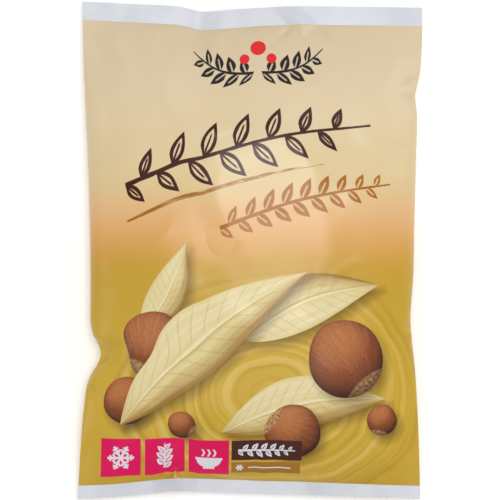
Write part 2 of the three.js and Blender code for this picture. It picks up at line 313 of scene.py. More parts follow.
# %% Creases
CREASE_TIP = 0.35
CREASE_HOLD = 0.25  # the share of its length over which a crease keeps its depth
CREASE_START = 1.2  # how many widths before its first point a crease begins
CREASES = [  # from, to, depth (below 0 stands up), width
    ((-106, -72), (-80, -65), 3.6, 5),
    ((-109, -79), (-93, -71.5), 2.2, 1.5),
    ((-111, -94), (-94, -74.5), -2.2, 1.6),
    ((-112, -58), (-94, -66), -1.1, 2.2),
    ((-113, -97), (-98, -110), 1.1, 3.2),
    ((120, 121.5), (102, 111.5), 2.2, 1.5),
    ((120, 101.5), (102, 109.5), 2.2, 1.5),
    ((120, 111.5), (106, 111), -1.0, 2.4),
    ((114, -52), (101, -55.5), 1.6, 1.8),
    ((113, -60), (104, -57), -0.9, 2.2),
    ((-112, 61), (-101, 58), 1.1, 2.6),
    ((-112, 54), (-103, 50), -0.7, 2.4),
    ((-119, 160), (-92, 116), 2.0, 6),
    ((-95, 150), (-76, 104), -1.4, 7),
    ((119, 158), (96, 120), 1.5, 6),
    ((104, 134), (80, 86), -1.1, 5),
    ((-118, -158), (-96, -126), 1.6, 6),
    ((118, -160), (98, -122), 1.7, 6),
    ((98, -150), (82, -118), -0.9, 5),
    ((-98, 100), (-96, -40), 0.9, 7),
    ((104, 70), (103, -30), 0.8, 7),
    ((-66, 152), (-72, 120), -0.9, 4),
    ((-40, 152), (-34, 122), 1.1, 5),
    ((29, 159), (17, 143), 2.2, 1.6),
    ((47, 159), (58, 144), 2.2, 1.6),
    ((17, 145), (0, 136), 0.7, 3),
    ((70, 152), (76, 124), 0.8, 5),
    ((2, -160), (6, -136), 0.9, 3.5),
    ((28, -160), (24, -138), -0.7, 3),
    ((66, -162), (62, -138), 0.9, 4),
    ((-86, -160), (-76, -138), 0.9, 3.5),
    ((-52.8, -161), (-51.8, -150), -2.2, 1.1),
    ((-58, -161.5), (-52.8, -149.5), 4.2, 1.8),
    ((-46.6, -161.5), (-50.8, -149.5), 4.2, 1.8),
    ((-68, -162), (-54, -150.5), -1.8, 1.3),
    ((-37, -161.5), (-50, -150.5), -1.8, 1.3),
    ((-60, -150), (-74, -136), 0.9, 2.4),
    ((-42, -150), (-28, -136), 0.8, 2.4),
    ((-52, -152), (-54, -132), -0.8, 2.6),
]


def crease(x, y, start, end, depth, width):
    """How far one crease moves the film inwards."""
    (x0, y0), (x1, y1) = start, end
    length = math.hypot(x1 - x0, y1 - y0)
    run = ((x - x0) * (x1 - x0) + (y - y0) * (y1 - y0)) / length
    aside = ((x - x0) * (y1 - y0) - (y - y0) * (x1 - x0)) / length
    tip = CREASE_TIP * width
    profile = np.exp(-(np.hypot(aside, tip) - tip) / width)
    fade = (1 - smooth(CREASE_HOLD * length, length, run)) * smooth(-CREASE_START * width, 0, run)
    return depth * profile * fade


print("creases:", len(CREASES))

# %% [markdown]
# Between the creases the film sinks a little where there is nothing below it. Such a hollow is
# round and soft, and on the side that the light comes from its rim catches the light.

# %% Soft hollows
BOWLS = [  # x, y, radius, depth, height of the rim, angle of the rim
    (-28, 112, 30, 1.6, 0.9, -120),
    (66, 74, 30, 0.9, 0.5, -150),
    (-78, 26, 24, 0.7, 0.4, -60),
    (80, -34, 26, 0.8, 0.4, 100),
    (12, 36, 34, 0.6, 0.3, 200),
    (38, 132, 20, 0.8, 0.4, -70),
]
BOWL_FALL = 0.7
RIM_WIDTH = 0.16
RIM_SPREAD = 2


def relief(x, y):
    """How far creases and hollows move the film outwards."""
    total = 0
    for line in CREASES:
        total = total - crease(x, y, *line)
    for centre_x, centre_y, radius, depth, rim, rim_angle in BOWLS:
        away = np.hypot(x - centre_x, y - centre_y) / radius
        turn = np.arctan2(y - centre_y, x - centre_x) - math.radians(rim_angle)
        facing = (0.5 + 0.5 * np.cos(turn)) ** RIM_SPREAD
        total = total - depth * hill(away, BOWL_FALL) + rim * facing * hill(away - 1, RIM_WIDTH)
    return total


print("hollows:", len(BOWLS))

# %% [markdown]
# Both walls are laid on one grid of shares: from fold to fold, and from weld to weld. Its lines
# crowd together near the folds and the welds, where the film bends most.

# %% Grids
COLUMNS = 230
ROWS = 310
EDGE_CROWDING = 0.7
END_CROWDING = 0.4
INNER_STEP = 2


def crowded(count, crowding):
    """Shares from -1 to 1 that lie closer together towards both ends."""
    even = np.linspace(-1, 1, count + 1)
    return lerp(even, np.sin(even * np.pi / 2), crowding)


ACROSS = crowded(COLUMNS, EDGE_CROWDING)
ALONG = crowded(ROWS, END_CROWDING)
across_grid, along_grid = np.meshgrid(ACROSS, ALONG)


def normals(points):
    """Unit normals of a grid of points whose rows run to +X and columns to +Y: they point up."""
    along_x = np.gradient(points, axis=1)
    along_y = np.gradient(points, axis=0)
    normal = np.cross(along_x, along_y)
    return normal / np.linalg.norm(normal, axis=2, keepdims=True)


def lowest_nearby(height):
    """The lowest height within one inner step of each point of a grid."""
    padded = np.pad(height, INNER_STEP, mode="edge")
    window = (2 * INNER_STEP + 1, 2 * INNER_STEP + 1)
    return np.lib.stride_tricks.sliding_window_view(padded, window).min(axis=(2, 3))


print("points on a wall's face:", across_grid.size)

# %% [markdown]
# The print was made on the flat web, before the bag was folded. So each point of a wall gets its
# place on that web as its UV coordinates, measured along the film from the wall's middle. The
# puckers draw the film in near a weld, but they don't turn the print aside, so the widths are
# measured on the same wall without them.

# %% The flat web
FLAT_HALF_WIDTH = 121
FLAT_END = {1: float(weld(1, 0.0)), -1: float(weld(-1, 0.0))}
GATHERED_FROM = 0.78  # along: from here to the weld, the print follows the weld
SHEET_SPAN = 400  # mm of the flat web that UV coordinates from 0 to 1 cover
UV_NAME = "flat_web"


def run_from_middle(points, axis, middle):
    """Lengths along one axis of a grid of points, from its middle row or column."""
    step = np.linalg.norm(np.diff(points, axis=axis), axis=2)
    run = np.insert(np.cumsum(step, axis=axis), 0, 0, axis=axis)
    return run - np.take(run, [middle], axis=axis)


def flat_sheet(points, calm):
    """Where each point of a wall lies on the flat web, in mm from its middle."""
    u = run_from_middle(calm, 1, COLUMNS // 2)
    v = run_from_middle(points, 0, ROWS // 2)
    u = np.where(u > 0, u / u[:, -1:], -u / u[:, :1]) * FLAT_HALF_WIDTH
    near_weld = smooth(GATHERED_FROM, 1, np.abs(along_grid))
    top_run = lerp(np.median(v[-1]), v[-1:], near_weld)
    bottom_run = lerp(np.median(v[0]), v[:1], near_weld)
    v = np.where(v > 0, v / top_run * FLAT_END[1], v / bottom_run * FLAT_END[-1])
    return np.stack([u, v], axis=2)


def add_uv(mesh, per_point):
    """Gives a mesh a UV map from one coordinate pair for each point."""
    corner_points = np.empty(len(mesh.loops), dtype=np.int64)
    mesh.loops.foreach_get("vertex_index", corner_points)
    layer = mesh.uv_layers.new(name=UV_NAME)
    layer.data.foreach_set("uv", per_point[corner_points].ravel())


print("the web between the welds in mm:", round(FLAT_END[1] - FLAT_END[-1], 1))

# %% [markdown]
# Blender makes a mesh from a list of points and a list of faces, each of which names its corner
# points by their numbers. Between the points of a grid, one rule finds all the faces.

# %% Faces of a grid


def mesh_piece(name, points, faces=()):
    """A new piece from its points, in metres, and its faces, as lists of point numbers."""
    mesh = bpy.data.meshes.new(name)
    mesh.from_pydata(points.tolist(), [], faces)
    return placed(name, mesh)


def triangles(piece):
    return sum(len(polygon.vertices) - 2 for polygon in piece.data.polygons)


def quads(grid, faces_up):
    """Four-sided faces between the point numbers of a grid."""
    corners = [grid[:-1, :-1], grid[:-1, 1:], grid[1:, 1:], grid[1:, :-1]]
    corners = corners if faces_up else corners[::-1]
    return np.stack(corners, axis=2).reshape(-1, 4).tolist()


def border(grid):
    """The outermost point numbers of a grid, once round."""
    return np.concatenate([grid[0], grid[1:, -1], grid[-1, -2::-1], grid[-2::-1, 0]])


print("faces on a wall's outer side:", COLUMNS * ROWS)

# %% [markdown]
# A wall becomes a closed mesh from two grids of points: a fine one outside, and one with every
# second point inside, where nobody looks. A narrow rim closes the gap between their edges. It
# has points of its own, so that it doesn't pull the normals of the visible face round.

# %% Closed shells


def closed_shell(name, outer, inner, step, faces_up=True, sheet=None, masks=None):
    """A shell between a fine outer grid and an inner grid of every `step`-th point."""
    rows, columns = outer.shape[:2]
    index = np.arange(rows * columns).reshape(rows, columns)
    inner_index = np.arange(inner[..., 0].size).reshape(inner.shape[:2]) + rows * columns
    fine = border(index)
    coarse = border(inner_index)
    both = np.concatenate([np.arange(index.size + inner_index.size), fine, coarse])
    faces = quads(index, faces_up) + quads(inner_index, not faces_up)
    sheet_faces = len(faces)
    fine_start = index.size + inner_index.size
    coarse_start = fine_start + len(fine)
    for i in range(len(coarse) - 1):
        outside = range(fine_start + (i + 1) * step, fine_start + i * step - 1, -1)
        ring = [coarse_start + i, coarse_start + i + 1, *outside]
        faces.append(ring if faces_up else ring[::-1])
    points = np.concatenate([outer.reshape(-1, 3), inner.reshape(-1, 3)])[both] * MM + shift
    piece = mesh_piece(name, points, faces)
    mesh = piece.data
    mesh.polygons.foreach_set("use_smooth", np.arange(len(faces)) < sheet_faces)
    if sheet is not None:
        inner_sheet = sheet[::step, ::step]
        flat = np.concatenate([sheet.reshape(-1, 2), inner_sheet.reshape(-1, 2)])[both]
        add_uv(mesh, flat / SHEET_SPAN + 0.5)
    for label, values in (masks or {}).items():
        mask = np.zeros(len(points))
        mask[: values.size] = values.ravel()
        mesh.attributes.new(label, "FLOAT", "POINT").data.foreach_set("value", mask)
    print(name, "has", triangles(piece), "triangles")
    return piece


def cad_shift():
    """The model's origin is the middle of its box, so these formulas are moved to fit it."""
    low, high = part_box("front_wall")
    x, y = plan(across_grid, along_grid)
    shift_x = (low.x + high.x) / 2 - (x.min() + x.max()) / 2 * MM
    shift_y = (low.y + high.y) / 2 - (y.min() + y.max()) / 2 * MM
    return np.array([shift_x, shift_y, 0])


shift = cad_shift()
print("shift in mm:", (shift / MM).round(2).tolist())

# %% [markdown]
# A real bag's film is about a tenth of a millimetre thick. These walls are three times that, so
# that their two faces stay apart. The front takes the creases, and each wall's inner face keeps
# clear of its outer one in the creases and of the middle surface at the welds. Two masks are
# stored on the points for the next step: where the film is free to move, and where it is gathered.

# %% Front and back walls as meshes
WALL_CLEARANCE = 0.02
FLAT_CROWN = 3.5  # creases are shallower where the wall bulges less than this
DEEPEST = 0.85  # the share of the wall's bulge that a crease may reach down
HALF_LENGTH = 160  # about how far the welds are from the middle
GATHER_START = 6
GATHER_FADE = (10, 55)
FREE_CROWN = 12
LIFTED = (1, 6)
FREE_GAP = 10


def gathered_share():
    """1 a little way inside the welds, and 0 at them and far from them."""
    from_weld = (1 - np.abs(along_grid)) * HALF_LENGTH
    return smooth(0, GATHER_START, from_weld) * (1 - smooth(*GATHER_FADE, from_weld))


def front_wall():
    x, y = plan(across_grid, along_grid)
    middle = middle_height(across_grid, along_grid)
    bare = np.stack([x, y, front_height(across_grid, along_grid)], axis=2)
    crown = bulge(FRONT_BULGE, across_grid, along_grid)
    room = np.clip(crown / FLAT_CROWN, 0, 1)
    moved = np.maximum(relief(x, y) * room, -DEEPEST * crown)
    outer = bare + normals(bare) * moved[..., None]
    inner = outer - normals(outer) * PLY
    inner[..., 2] = np.maximum(lowest_nearby(inner[..., 2]), middle + WALL_CLEARANCE)
    inner = inner[::INNER_STEP, ::INNER_STEP]
    masks = {"free": smooth(0, FREE_CROWN, crown), "gathered": gathered_share() * room}
    calm = bare.copy()
    calm[..., 2] -= gathers(across_grid, along_grid)
    sheet = flat_sheet(bare, calm)
    return closed_shell("front_film", outer, inner, INNER_STEP, True, sheet, masks)


def back_wall():
    x, y = plan(across_grid, along_grid)
    middle = middle_height(across_grid, along_grid)
    height = back_height(across_grid, along_grid)
    hollow = trough(across_grid)
    outer = np.stack([x, y, height + hollow], axis=2)
    inner = outer + normals(outer) * PLY
    inner[..., 2] = np.minimum(-lowest_nearby(-inner[..., 2]), middle - WALL_CLEARANCE)
    inner = inner[::INNER_STEP, ::INNER_STEP]
    lifted = smooth(*LIFTED, height) * (1 - np.clip(hollow, 0, 1))
    free = lifted * smooth(0, FREE_GAP, middle - height)
    masks = {"free": free, "gathered": lifted * gathered_share()}
    sheet = flat_sheet(outer, outer)
    return closed_shell("back_film", outer, inner, INNER_STEP, False, sheet, masks)


front_film = front_wall()
back_film = back_wall()

# %% [markdown]
# The next steps build node trees, for shapes and for colours. Written out by hand, a sum in nodes
# hides behind its links, so a small class lets a value in a tree be added, multiplied and
# compared as in plain maths.

# %% Values in a node tree


def feed(socket, value):
    """Gives a socket a plain value, or links it to what makes one."""
    if isinstance(value, Flow):
        value.tree.links.new(value.socket, socket)
    else:
        socket.default_value = value


def node(tree, kind, inputs=None, **settings):
    """A new node with its settings and inputs."""
    made = tree.nodes.new(kind)
    for name, value in settings.items():
        setattr(made, name, value)
    for key, value in (inputs or {}).items():
        feed(made.inputs[key], value)
    return made


def flow(tree, kind, inputs=None, output=0, **settings):
    """What one output of a new node puts out."""
    return Flow(node(tree, kind, inputs, **settings).outputs[output])


class Flow:
    """A value on its way through a node tree."""

    def __init__(self, socket):
        self.socket = socket
        self.tree = socket.id_data

    def apply(self, operation, *others, clamp=False):
        inputs = dict(enumerate((self, *others)))
        return flow(self.tree, "ShaderNodeMath", inputs, operation=operation, use_clamp=clamp)

    def __add__(self, other):
        return self.apply("ADD", other)

    def __sub__(self, other):
        return self.apply("SUBTRACT", other)

    def __mul__(self, other):
        return self.apply("MULTIPLY", other)

    def __truediv__(self, other):
        return self.apply("DIVIDE", other)

    def __pow__(self, other):
        return self.apply("POWER", other)

    def __neg__(self):
        return self.apply("MULTIPLY", -1)

    __radd__ = __add__
    __rmul__ = __mul__

    def __rsub__(self, other):
        return -self + other

    def __abs__(self):
        return self.apply("ABSOLUTE")

    def most(self, other):
        return self.apply("MAXIMUM", other)

    def bounded(self):
        """Held between 0 and 1."""
        return self.apply("ADD", 0.0, clamp=True)

    def ramp(self, low, high):
        """0 below `low`, 1 above `high`, and even between."""
        return ((self - low) / (high - low)).bounded()


def vector(x=0.0, y=0.0, z=0.0):
    """Up to three values as one vector."""
    tree = next(value.tree for value in (x, y, z) if isinstance(value, Flow))
    return flow(tree, "ShaderNodeCombineXYZ", {0: x, 1: y, 2: z})


def split(place):
    """The three values of a vector."""
    return [Flow(part) for part in node(place.tree, "ShaderNodeSeparateXYZ", {0: place}).outputs]


def noise(place, scale, detail=2.0, **inputs):
    values = {"Vector": place, "Scale": scale, "Detail": detail, **inputs}
    return flow(place.tree, "ShaderNodeTexNoise", values)


print("ways to reckon with a value:", sum(map(callable, vars(Flow).values())))

# %% [markdown]
# Every tree is made in one way: its inputs get their names, a rule turns them into what the tree
# puts out, and each result gets an output of its own name and kind. A geometry tree then runs on
# a piece as a modifier, whose inputs are set by their identifiers. Its result is kept as a plain
# mesh, because an exported model holds meshes and no modifiers.

# %% Node trees from rules
NUMBER = "NodeSocketFloat"
SOCKETS = {  # by the kind of a value
    "VALUE": NUMBER,
    "VECTOR": "NodeSocketVector",
    "RGBA": "NodeSocketColor",
    "INT": "NodeSocketInt",
    "GEOMETRY": "NodeSocketGeometry",
    "OBJECT": "NodeSocketObject",
    "MATERIAL": "NodeSocketMaterial",
}


def new_tree(name, inputs, rule, kind="ShaderNodeTree"):
    """A tree by a rule. Each input has a number as its default, or else only a kind."""
    tree = bpy.data.node_groups.new(name, kind)
    for label, value in inputs.items():
        socket_type = SOCKETS.get(value, NUMBER)
        socket = tree.interface.new_socket(label, in_out="INPUT", socket_type=socket_type)
        if value not in SOCKETS:
            socket.default_value = value
    start = tree.nodes.new("NodeGroupInput")
    results = rule({label: Flow(start.outputs[label]) for label in inputs})
    for label, value in results.items():
        socket_type = SOCKETS[value.socket.type]
        tree.interface.new_socket(label, in_out="OUTPUT", socket_type=socket_type)
    end = tree.nodes.new("NodeGroupOutput")
    for label, value in results.items():
        feed(end.inputs[label], value)
    print(name, "has", len(tree.nodes), "nodes")
    return tree


def grown(piece, tree, values):
    """Runs a Geometry Nodes tree on a piece and keeps the result as its plain mesh."""
    modifier = piece.modifiers.new("rule", "NODES")
    modifier.node_group = tree
    sockets = [item for item in tree.interface.items_tree if item.in_out == "INPUT"]
    identifiers = {socket.name: socket.identifier for socket in sockets}
    for label, value in values.items():
        modifier[identifiers[label]] = value
    graph = bpy.context.evaluated_depsgraph_get()
    made = bpy.data.meshes.new_from_object(piece.evaluated_get(graph))
    piece.modifiers.clear()
    before = piece.data
    piece.data = made
    bpy.data.meshes.remove(before)
    made.name = piece.name
    return piece


print("kinds of value that a tree can take:", list(SOCKETS))

# %% [markdown]
# Taut film is never quite smooth: it shows the lumps of what it holds, and faint flutes that run
# in from the welds. A Geometry Nodes tree adds both along the surface's own normals. The masks on
# the points hold it back at the welds, so that the walls stay joined to the seals.

# %% Film relief with Geometry Nodes
SWELL_DETAIL = 0.6
SWELLS = [  # mask, width, length, height, step from the seed
    ("free", "Lump Size", "Lump Size", "Lump Height", 0),
    ("free", "Ripple Size", "Ripple Size", "Ripple Height", 7),
    ("gathered", "Flute Width", "Flute Length", "Flute Height", 13),
]
FRONT_RELIEF = {
    "Lump Size": 0.042,
    "Lump Height": 0.0024,
    "Ripple Size": 0.016,
    "Ripple Height": 0.00012,
    "Flute Width": 0.013,
    "Flute Length": 0.06,
    "Flute Height": 0.0006,
    "Seed": 3.0,
}
BACK_RELIEF = {**FRONT_RELIEF, "Lump Height": 0.0012, "Seed": 11.0}


def attribute(tree, name):
    """A number that is stored on the points."""
    return flow(tree, "GeometryNodeInputNamedAttribute", {"Name": name}, data_type="FLOAT")


def film_relief_rule(given):
    tree = given["Geometry"].tree
    x, y, z = split(flow(tree, "GeometryNodeInputPosition"))
    rise = 0.0
    for mask, width, length, height, step in SWELLS:
        seed = given["Seed"] + step
        where = vector(x / given[width], y / given[length], z / given[width] + seed)
        wave = noise(where, 1.0, SWELL_DETAIL)
        rise = rise + (wave - 0.5) * 2 * given[height] * attribute(tree, mask)
    outwards = {0: flow(tree, "GeometryNodeInputNormal"), "Scale": rise}
    offset = flow(tree, "ShaderNodeVectorMath", outwards, operation="SCALE")
    moves = {"Geometry": given["Geometry"], "Offset": offset}
    return {"Geometry": flow(tree, "GeometryNodeSetPosition", moves)}


relief_inputs = {"Geometry": "GEOMETRY", **FRONT_RELIEF}
film_relief = new_tree("film_relief", relief_inputs, film_relief_rule, "GeometryNodeTree")
grown(front_film, film_relief, FRONT_RELIEF)
grown(back_film, film_relief, BACK_RELIEF)
print("front film after relief:", triangles(front_film), "triangles")

# %% [markdown]
# The welded ends carry on from the walls: both plies lie flat on each other, so a seal is a
# band of twice the film's thickness. It could be extruded from the wall's edge. It is a piece of
# its own, because it is bare of print, and it starts exactly on the wall's last row of points.

# %% End seals
SEAL_ROWS = 14
SEAL_RIPPLES = [(0.25, 7.3, 2, 0), (0.15, 3.1, 0, 1.3)]  # height, reach, turn by end, phase


def seal_band(name, end):
    out, across = np.meshgrid(np.linspace(0, 1, SEAL_ROWS + 1), ACROSS, indexing="ij")
    near_x = across * HALF_WIDTH
    y = lerp(weld(end, near_x), cut_edge[end](near_x), out)
    x = plan_x(across, y)
    z = seal_height(end, across) + puckers(end, x, -out * SEAL_DEPTH[end])
    z = z - SEAL_DROOP[end] * out
    for height, reach, turn, phase in SEAL_RIPPLES:
        z = z + height * out * np.sin(x / reach + turn * end + phase)
    top = np.stack([x, y, z + PLY], axis=2)
    bottom = np.stack([x, y, z - PLY], axis=2)
    v = FLAT_END[end] + end * out * SEAL_DEPTH[end]
    sheet = np.stack([across * FLAT_HALF_WIDTH, v], axis=2)
    order = slice(None, None, end)  # rows of a shell run to +Y
    return closed_shell(name, top[order], bottom[order], 1, True, sheet[order])


top_seal = seal_band("top_seal_film", 1)
bottom_seal = seal_band("bottom_seal_film", -1)

# %% [markdown]
# The web's own two edges are welded into a fin that lies folded on the back, in the trough of the
# back wall. A plain box would float over that wall's curve, so the band is one more closed shell
# on the same plan and takes its heights from the wall.

# %% Back fin
FIN_END = 0.985
FIN_BAND = (0.35, 0.95)  # the band's faces above the surface, within the model's solid
FIN_ROWS = 240
FIN_COLUMNS = 4


def fin_band():
    rows = np.linspace(-FIN_END, FIN_END, FIN_ROWS + 1)
    along, share = np.meshgrid(rows, np.linspace(0, 1, FIN_COLUMNS + 1), indexing="ij")
    across = (FIN_START + share * FIN_WIDTH) / HALF_WIDTH
    x, y = plan(across, along)
    base = back_height(across, along)
    lower, upper = [np.stack([x, y, base + height], axis=2) for height in FIN_BAND]
    sheet = np.stack([across * FLAT_HALF_WIDTH, along * FLAT_END[1]], axis=2)
    return closed_shell("fin_film", lower, upper, 1, False, sheet)


fin_film = fin_band()

# %% [markdown]
# A fin is crimped between ribbed jaws, so ribs repeat along it. A small Geometry Nodes tree sets
# one slim rod on each point of a line and turns the copies into real faces. Lying across the line
# and sunk halfway into the band, the rods look like ribs, and they are joined with it.

# %% Crimp ribs
LINE_POINTS = 2000
RIB_PITCH = 2.2
RIB_SIDES = 10
CRIMPS = {"Rib Length": 0.0106, "Rib Width": 0.0009, "Rib Height": 0.0005}


def rib_places():
    """Points along the fin's middle line, a rib's pitch apart, and the line's slope at each."""
    along = np.linspace(-FIN_END, FIN_END, LINE_POINTS)
    across = np.full_like(along, (FIN_START + FIN_WIDTH / 2) / HALF_WIDTH)
    x, y = plan(across, along)
    z = back_height(across, along) + FIN_BAND[0]
    line = np.stack([x, y, z], axis=1)
    run = np.insert(np.cumsum(np.linalg.norm(np.diff(line, axis=0), axis=1)), 0, 0)
    stops = np.arange(RIB_PITCH, run[-1] - RIB_PITCH, RIB_PITCH)
    places = np.stack([np.interp(stops, run, line[:, i]) for i in range(3)], axis=1)
    slope = np.interp(stops, run, np.arctan2(np.gradient(z), np.gradient(y)))
    return places * MM + shift, slope


def real_faces(copies, material):
    """Ends a tree: its copies become real faces and get their material."""
    real = flow(copies.tree, "GeometryNodeRealizeInstances", {0: copies})
    return {"Geometry": flow(copies.tree, "GeometryNodeSetMaterial", {0: real, "Material": material})}


def crimp_rule(given):
    tree = given["Geometry"].tree
    form = {"Vertices": RIB_SIDES, "Radius": 0.5, "Depth": given["Rib Length"]}
    rib = flow(tree, "GeometryNodeMeshCylinder", form)
    lying = {"Geometry": rib, "Rotation": (0, math.pi / 2, 0)}
    rib = flow(tree, "GeometryNodeTransform", lying)
    slim = {"Geometry": rib, "Scale": vector(1.0, given["Rib Width"], given["Rib Height"])}
    rib = flow(tree, "GeometryNodeTransform", slim)
    turn = vector(attribute(tree, "slope"))
    copies = {"Points": given["Geometry"], "Instance": rib, "Rotation": turn}
    return real_faces(flow(tree, "GeometryNodeInstanceOnPoints", copies), given["Material"])


def join(name, pieces):
    """Several meshes as one piece."""
    with bpy.context.temp_override(active_object=pieces[0], selected_editable_objects=pieces):
        bpy.ops.object.join()
    pieces[0].name = name
    pieces[0].data.name = name
    return pieces[0]


places, slope = rib_places()
ribs = mesh_piece("fin_ribs", places)
ribs.data.attributes.new("slope", "FLOAT", "POINT").data.foreach_set("value", slope)
crimp_inputs = {"Geometry": "GEOMETRY", "Material": "MATERIAL", **CRIMPS}
grown(ribs, new_tree("crimp_ribs", crimp_inputs, crimp_rule, "GeometryNodeTree"), CRIMPS)
ribs.data.uv_layers.new(name=UV_NAME)
print("ribs:", len(places), "with", triangles(ribs), "triangles")
fin = join("fin_film", [fin_film, ribs])

# %% [markdown]
# Inside lie ten whole mushrooms, head to tail. A king oyster mushroom has a thick stem that
# widens into its cap without a step, so it is turned like a lathe form from one profile. Sculpting
# would make each one different, but that is lost on things that lie in a closed bag.

# %% A mushroom's form
LENGTH = 108
STEM_RADIUS = {"outer": 15, "inner": 18}
CAP_RADIUS = {"outer": 17.5, "inner": 21}
MUSHROOM_SIDES = 40
MUSHROOM_RINGS = 56


def profile(stem, cap):
    return through([
        (0, 0), (0.015, 0.55 * stem), (0.06, 0.85 * stem), (0.18, stem), (0.34, stem),
        (0.52, 0.92 * stem), (0.68, 0.88 * stem), (0.78, 0.92 * stem), (0.86, lerp(stem, cap, 0.4)),
        (0.905, 0.92 * cap), (0.93, cap), (0.955, 0.94 * cap), (0.98, 0.72 * cap),
        (0.995, 0.36 * cap), (1, 0),
    ])


def row_quads(number):
    """Four-sided faces from each row of point numbers to the next."""
    corners = [number[:-1, :-1], number[1:, :-1], number[1:, 1:], number[:-1, 1:]]
    return np.stack(corners, axis=2).reshape(-1, 4).tolist()


def turned(stem, cap):
    """Points (x, y, z) of a lathe form about +Y, with its faces and its UV coordinates."""
    share = 0.5 - 0.5 * np.cos(np.linspace(0, np.pi, MUSHROOM_RINGS + 1)[1:-1])
    turn = np.linspace(0, 2 * np.pi, MUSHROOM_SIDES, endpoint=False)
    rings, sides = np.meshgrid(share, turn, indexing="ij")
    radius = profile(stem, cap)(rings)
    form = np.stack([radius * np.sin(sides), rings * LENGTH, radius * np.cos(sides)], axis=2)
    points = np.concatenate([form.reshape(-1, 3), [[0, 0, 0], [0, LENGTH, 0]]])
    flat = np.stack([sides / (2 * np.pi), rings], axis=2).reshape(-1, 2)
    flat = np.concatenate([flat, [[0.5, 0], [0.5, 1]]])
    base = rings.size
    number = np.arange(base).reshape(rings.shape)
    number = np.hstack([number, number[:, :1]])
    faces = row_quads(number)
    faces += [(base, a, b) for a, b in zip(number[0], number[0, 1:])]
    faces += [(base + 1, b, a) for a, b in zip(number[-1], number[-1, 1:])]
    return points, faces, flat


print("faces of a mushroom's form:", len(turned(1, 1)[1]))

# %% [markdown]
# The gills run down from the cap onto the stem and repeat round it. So Geometry Nodes set one thin
# blade on each point of a line of no length, each turned a little further than the last.

# %% Gills with Geometry Nodes
GILL_COUNT = 44
GILL_SPAN = (0.7, 0.9)
GILL_STEPS = 9
GILL_THICKNESS = 0.7
GILL_EDGE = 0.4  # how thick a gill's free edge is, as a share of its root
GILL_PROUD = 1.3
GILL_ROUNDNESS = 0.6
GILL_ROOT = 1.5  # how deep a gill's root sits in the flesh


def gill_blade(stem, cap):
    """One thin blade in the plane x = 0, proud of the form under the cap."""
    share = np.linspace(*GILL_SPAN, GILL_STEPS)
    proud = GILL_PROUD * np.sin(np.linspace(0, np.pi, GILL_STEPS)) ** GILL_ROUNDNESS
    inner = profile(stem, cap)(share) - GILL_ROOT
    outer = profile(stem, cap)(share) + proud
    root = GILL_THICKNESS / 2
    edge = root * GILL_EDGE
    corners = [(-root, inner), (-edge, outer), (edge, outer), (root, inner)]
    points = [(x, y * LENGTH, z) for x, line in corners for y, z in zip(share, line)]
    number = np.arange(len(points)).reshape(len(corners), GILL_STEPS)
    faces = row_quads(np.vstack([number, number[:1]]))
    faces += [number[[0, 3, 2, 1], 0].tolist(), number[:, -1].tolist()]
    return mesh_piece("gill", np.array(points) * MM, faces)


def gill_rule(given):
    tree = given["Geometry"].tree
    line = flow(tree, "GeometryNodeMeshLine", {"Count": given["Count"], "Offset": (0, 0, 0)})
    blade = flow(tree, "GeometryNodeObjectInfo", {"Object": given["Blade"]}, "Geometry")
    turn = flow(tree, "GeometryNodeInputIndex") * (2 * math.pi) / given["Count"]
    copies = {"Points": line, "Instance": blade, "Rotation": vector(0.0, turn)}
    ring = flow(tree, "GeometryNodeInstanceOnPoints", copies)
    both = node(tree, "GeometryNodeJoinGeometry", {0: given["Geometry"]})
    feed(both.inputs[0], ring)
    return real_faces(Flow(both.outputs[0]), given["Material"])


gill_inputs = {"Geometry": "GEOMETRY", "Count": "INT", "Blade": "OBJECT", "Material": "MATERIAL"}
gills = new_tree("gills", gill_inputs, gill_rule, "GeometryNodeTree")
blades = {size: gill_blade(STEM_RADIUS[size], CAP_RADIUS[size]) for size in STEM_RADIUS}

# %% [markdown]
# The mushrooms have to lie between the walls without touching the film. So the free height is
# worked out for any place seen from above, from the same formulas as the walls.

# %% Free space in the bag
MODEL_WALL = 0.6
FILM_CLEARANCE = 1.1
DENT_ROUNDS = 6


def across_at(x, y):
    """The place across that the plan puts at x: each round undoes the dents better."""
    left, right = left_edge(y), right_edge(y)
    undented = x
    for _ in range(DENT_ROUNDS):
        undented = x - dent(-1, y, undented - left) - dent(1, y, right - undented)
    return np.clip(2 * (undented - left) / (right - left) - 1, -1, 1)


def free_space(x, y):
    """Free height between the model's two walls."""
    along = np.clip(2 * (y - weld(-1, x)) / (weld(1, x) - weld(-1, x)) - 1, -1, 1)
    across = across_at(x, y)
    hollow = np.minimum(0, relief(x, y))
    ceiling = front_height(across, along) + hollow - MODEL_WALL - FILM_CLEARANCE
    floor = back_height(across, along) + TROUGH + MODEL_WALL + FILM_CLEARANCE
    return floor, ceiling


middle_floor, middle_ceiling = free_space(0.0, 0.0)
print("free height in the middle in mm:", round(float(middle_ceiling - middle_floor), 1))

# %% [markdown]
# Five mushrooms lie side by side in each half of the bag. Each turned form is laid in its place
# and pressed between the walls, as the film and its neighbours press a real one.

# %% Mushrooms in their places
COLUMN_COUNT = 5
COLUMN_PITCH = 40
ROW_START = 4
STEM_BEND = 0.5


def laid(points, x, y, heading, stem, bend):
    """Puts a turned mushroom in its place in the bag and presses it between the walls."""
    share = np.clip(points[:, 1] / LENGTH, 0, 1)
    place_y = y + heading * points[:, 1]
    axis_x = x + bend * np.sin(np.pi * share)
    place_x = axis_x + heading * points[:, 0]
    axis_floor, axis_ceiling = free_space(axis_x, place_y)
    floor, ceiling = free_space(place_x, place_y)
    widest = np.maximum(np.hypot(points[:, 0], points[:, 2]), stem)
    press = np.minimum(1, (axis_ceiling - axis_floor) / (2 * widest))
    z = (axis_ceiling + axis_floor) / 2 + points[:, 2] * press
    return np.stack([place_x, place_y, np.clip(z, floor, ceiling)], axis=1)


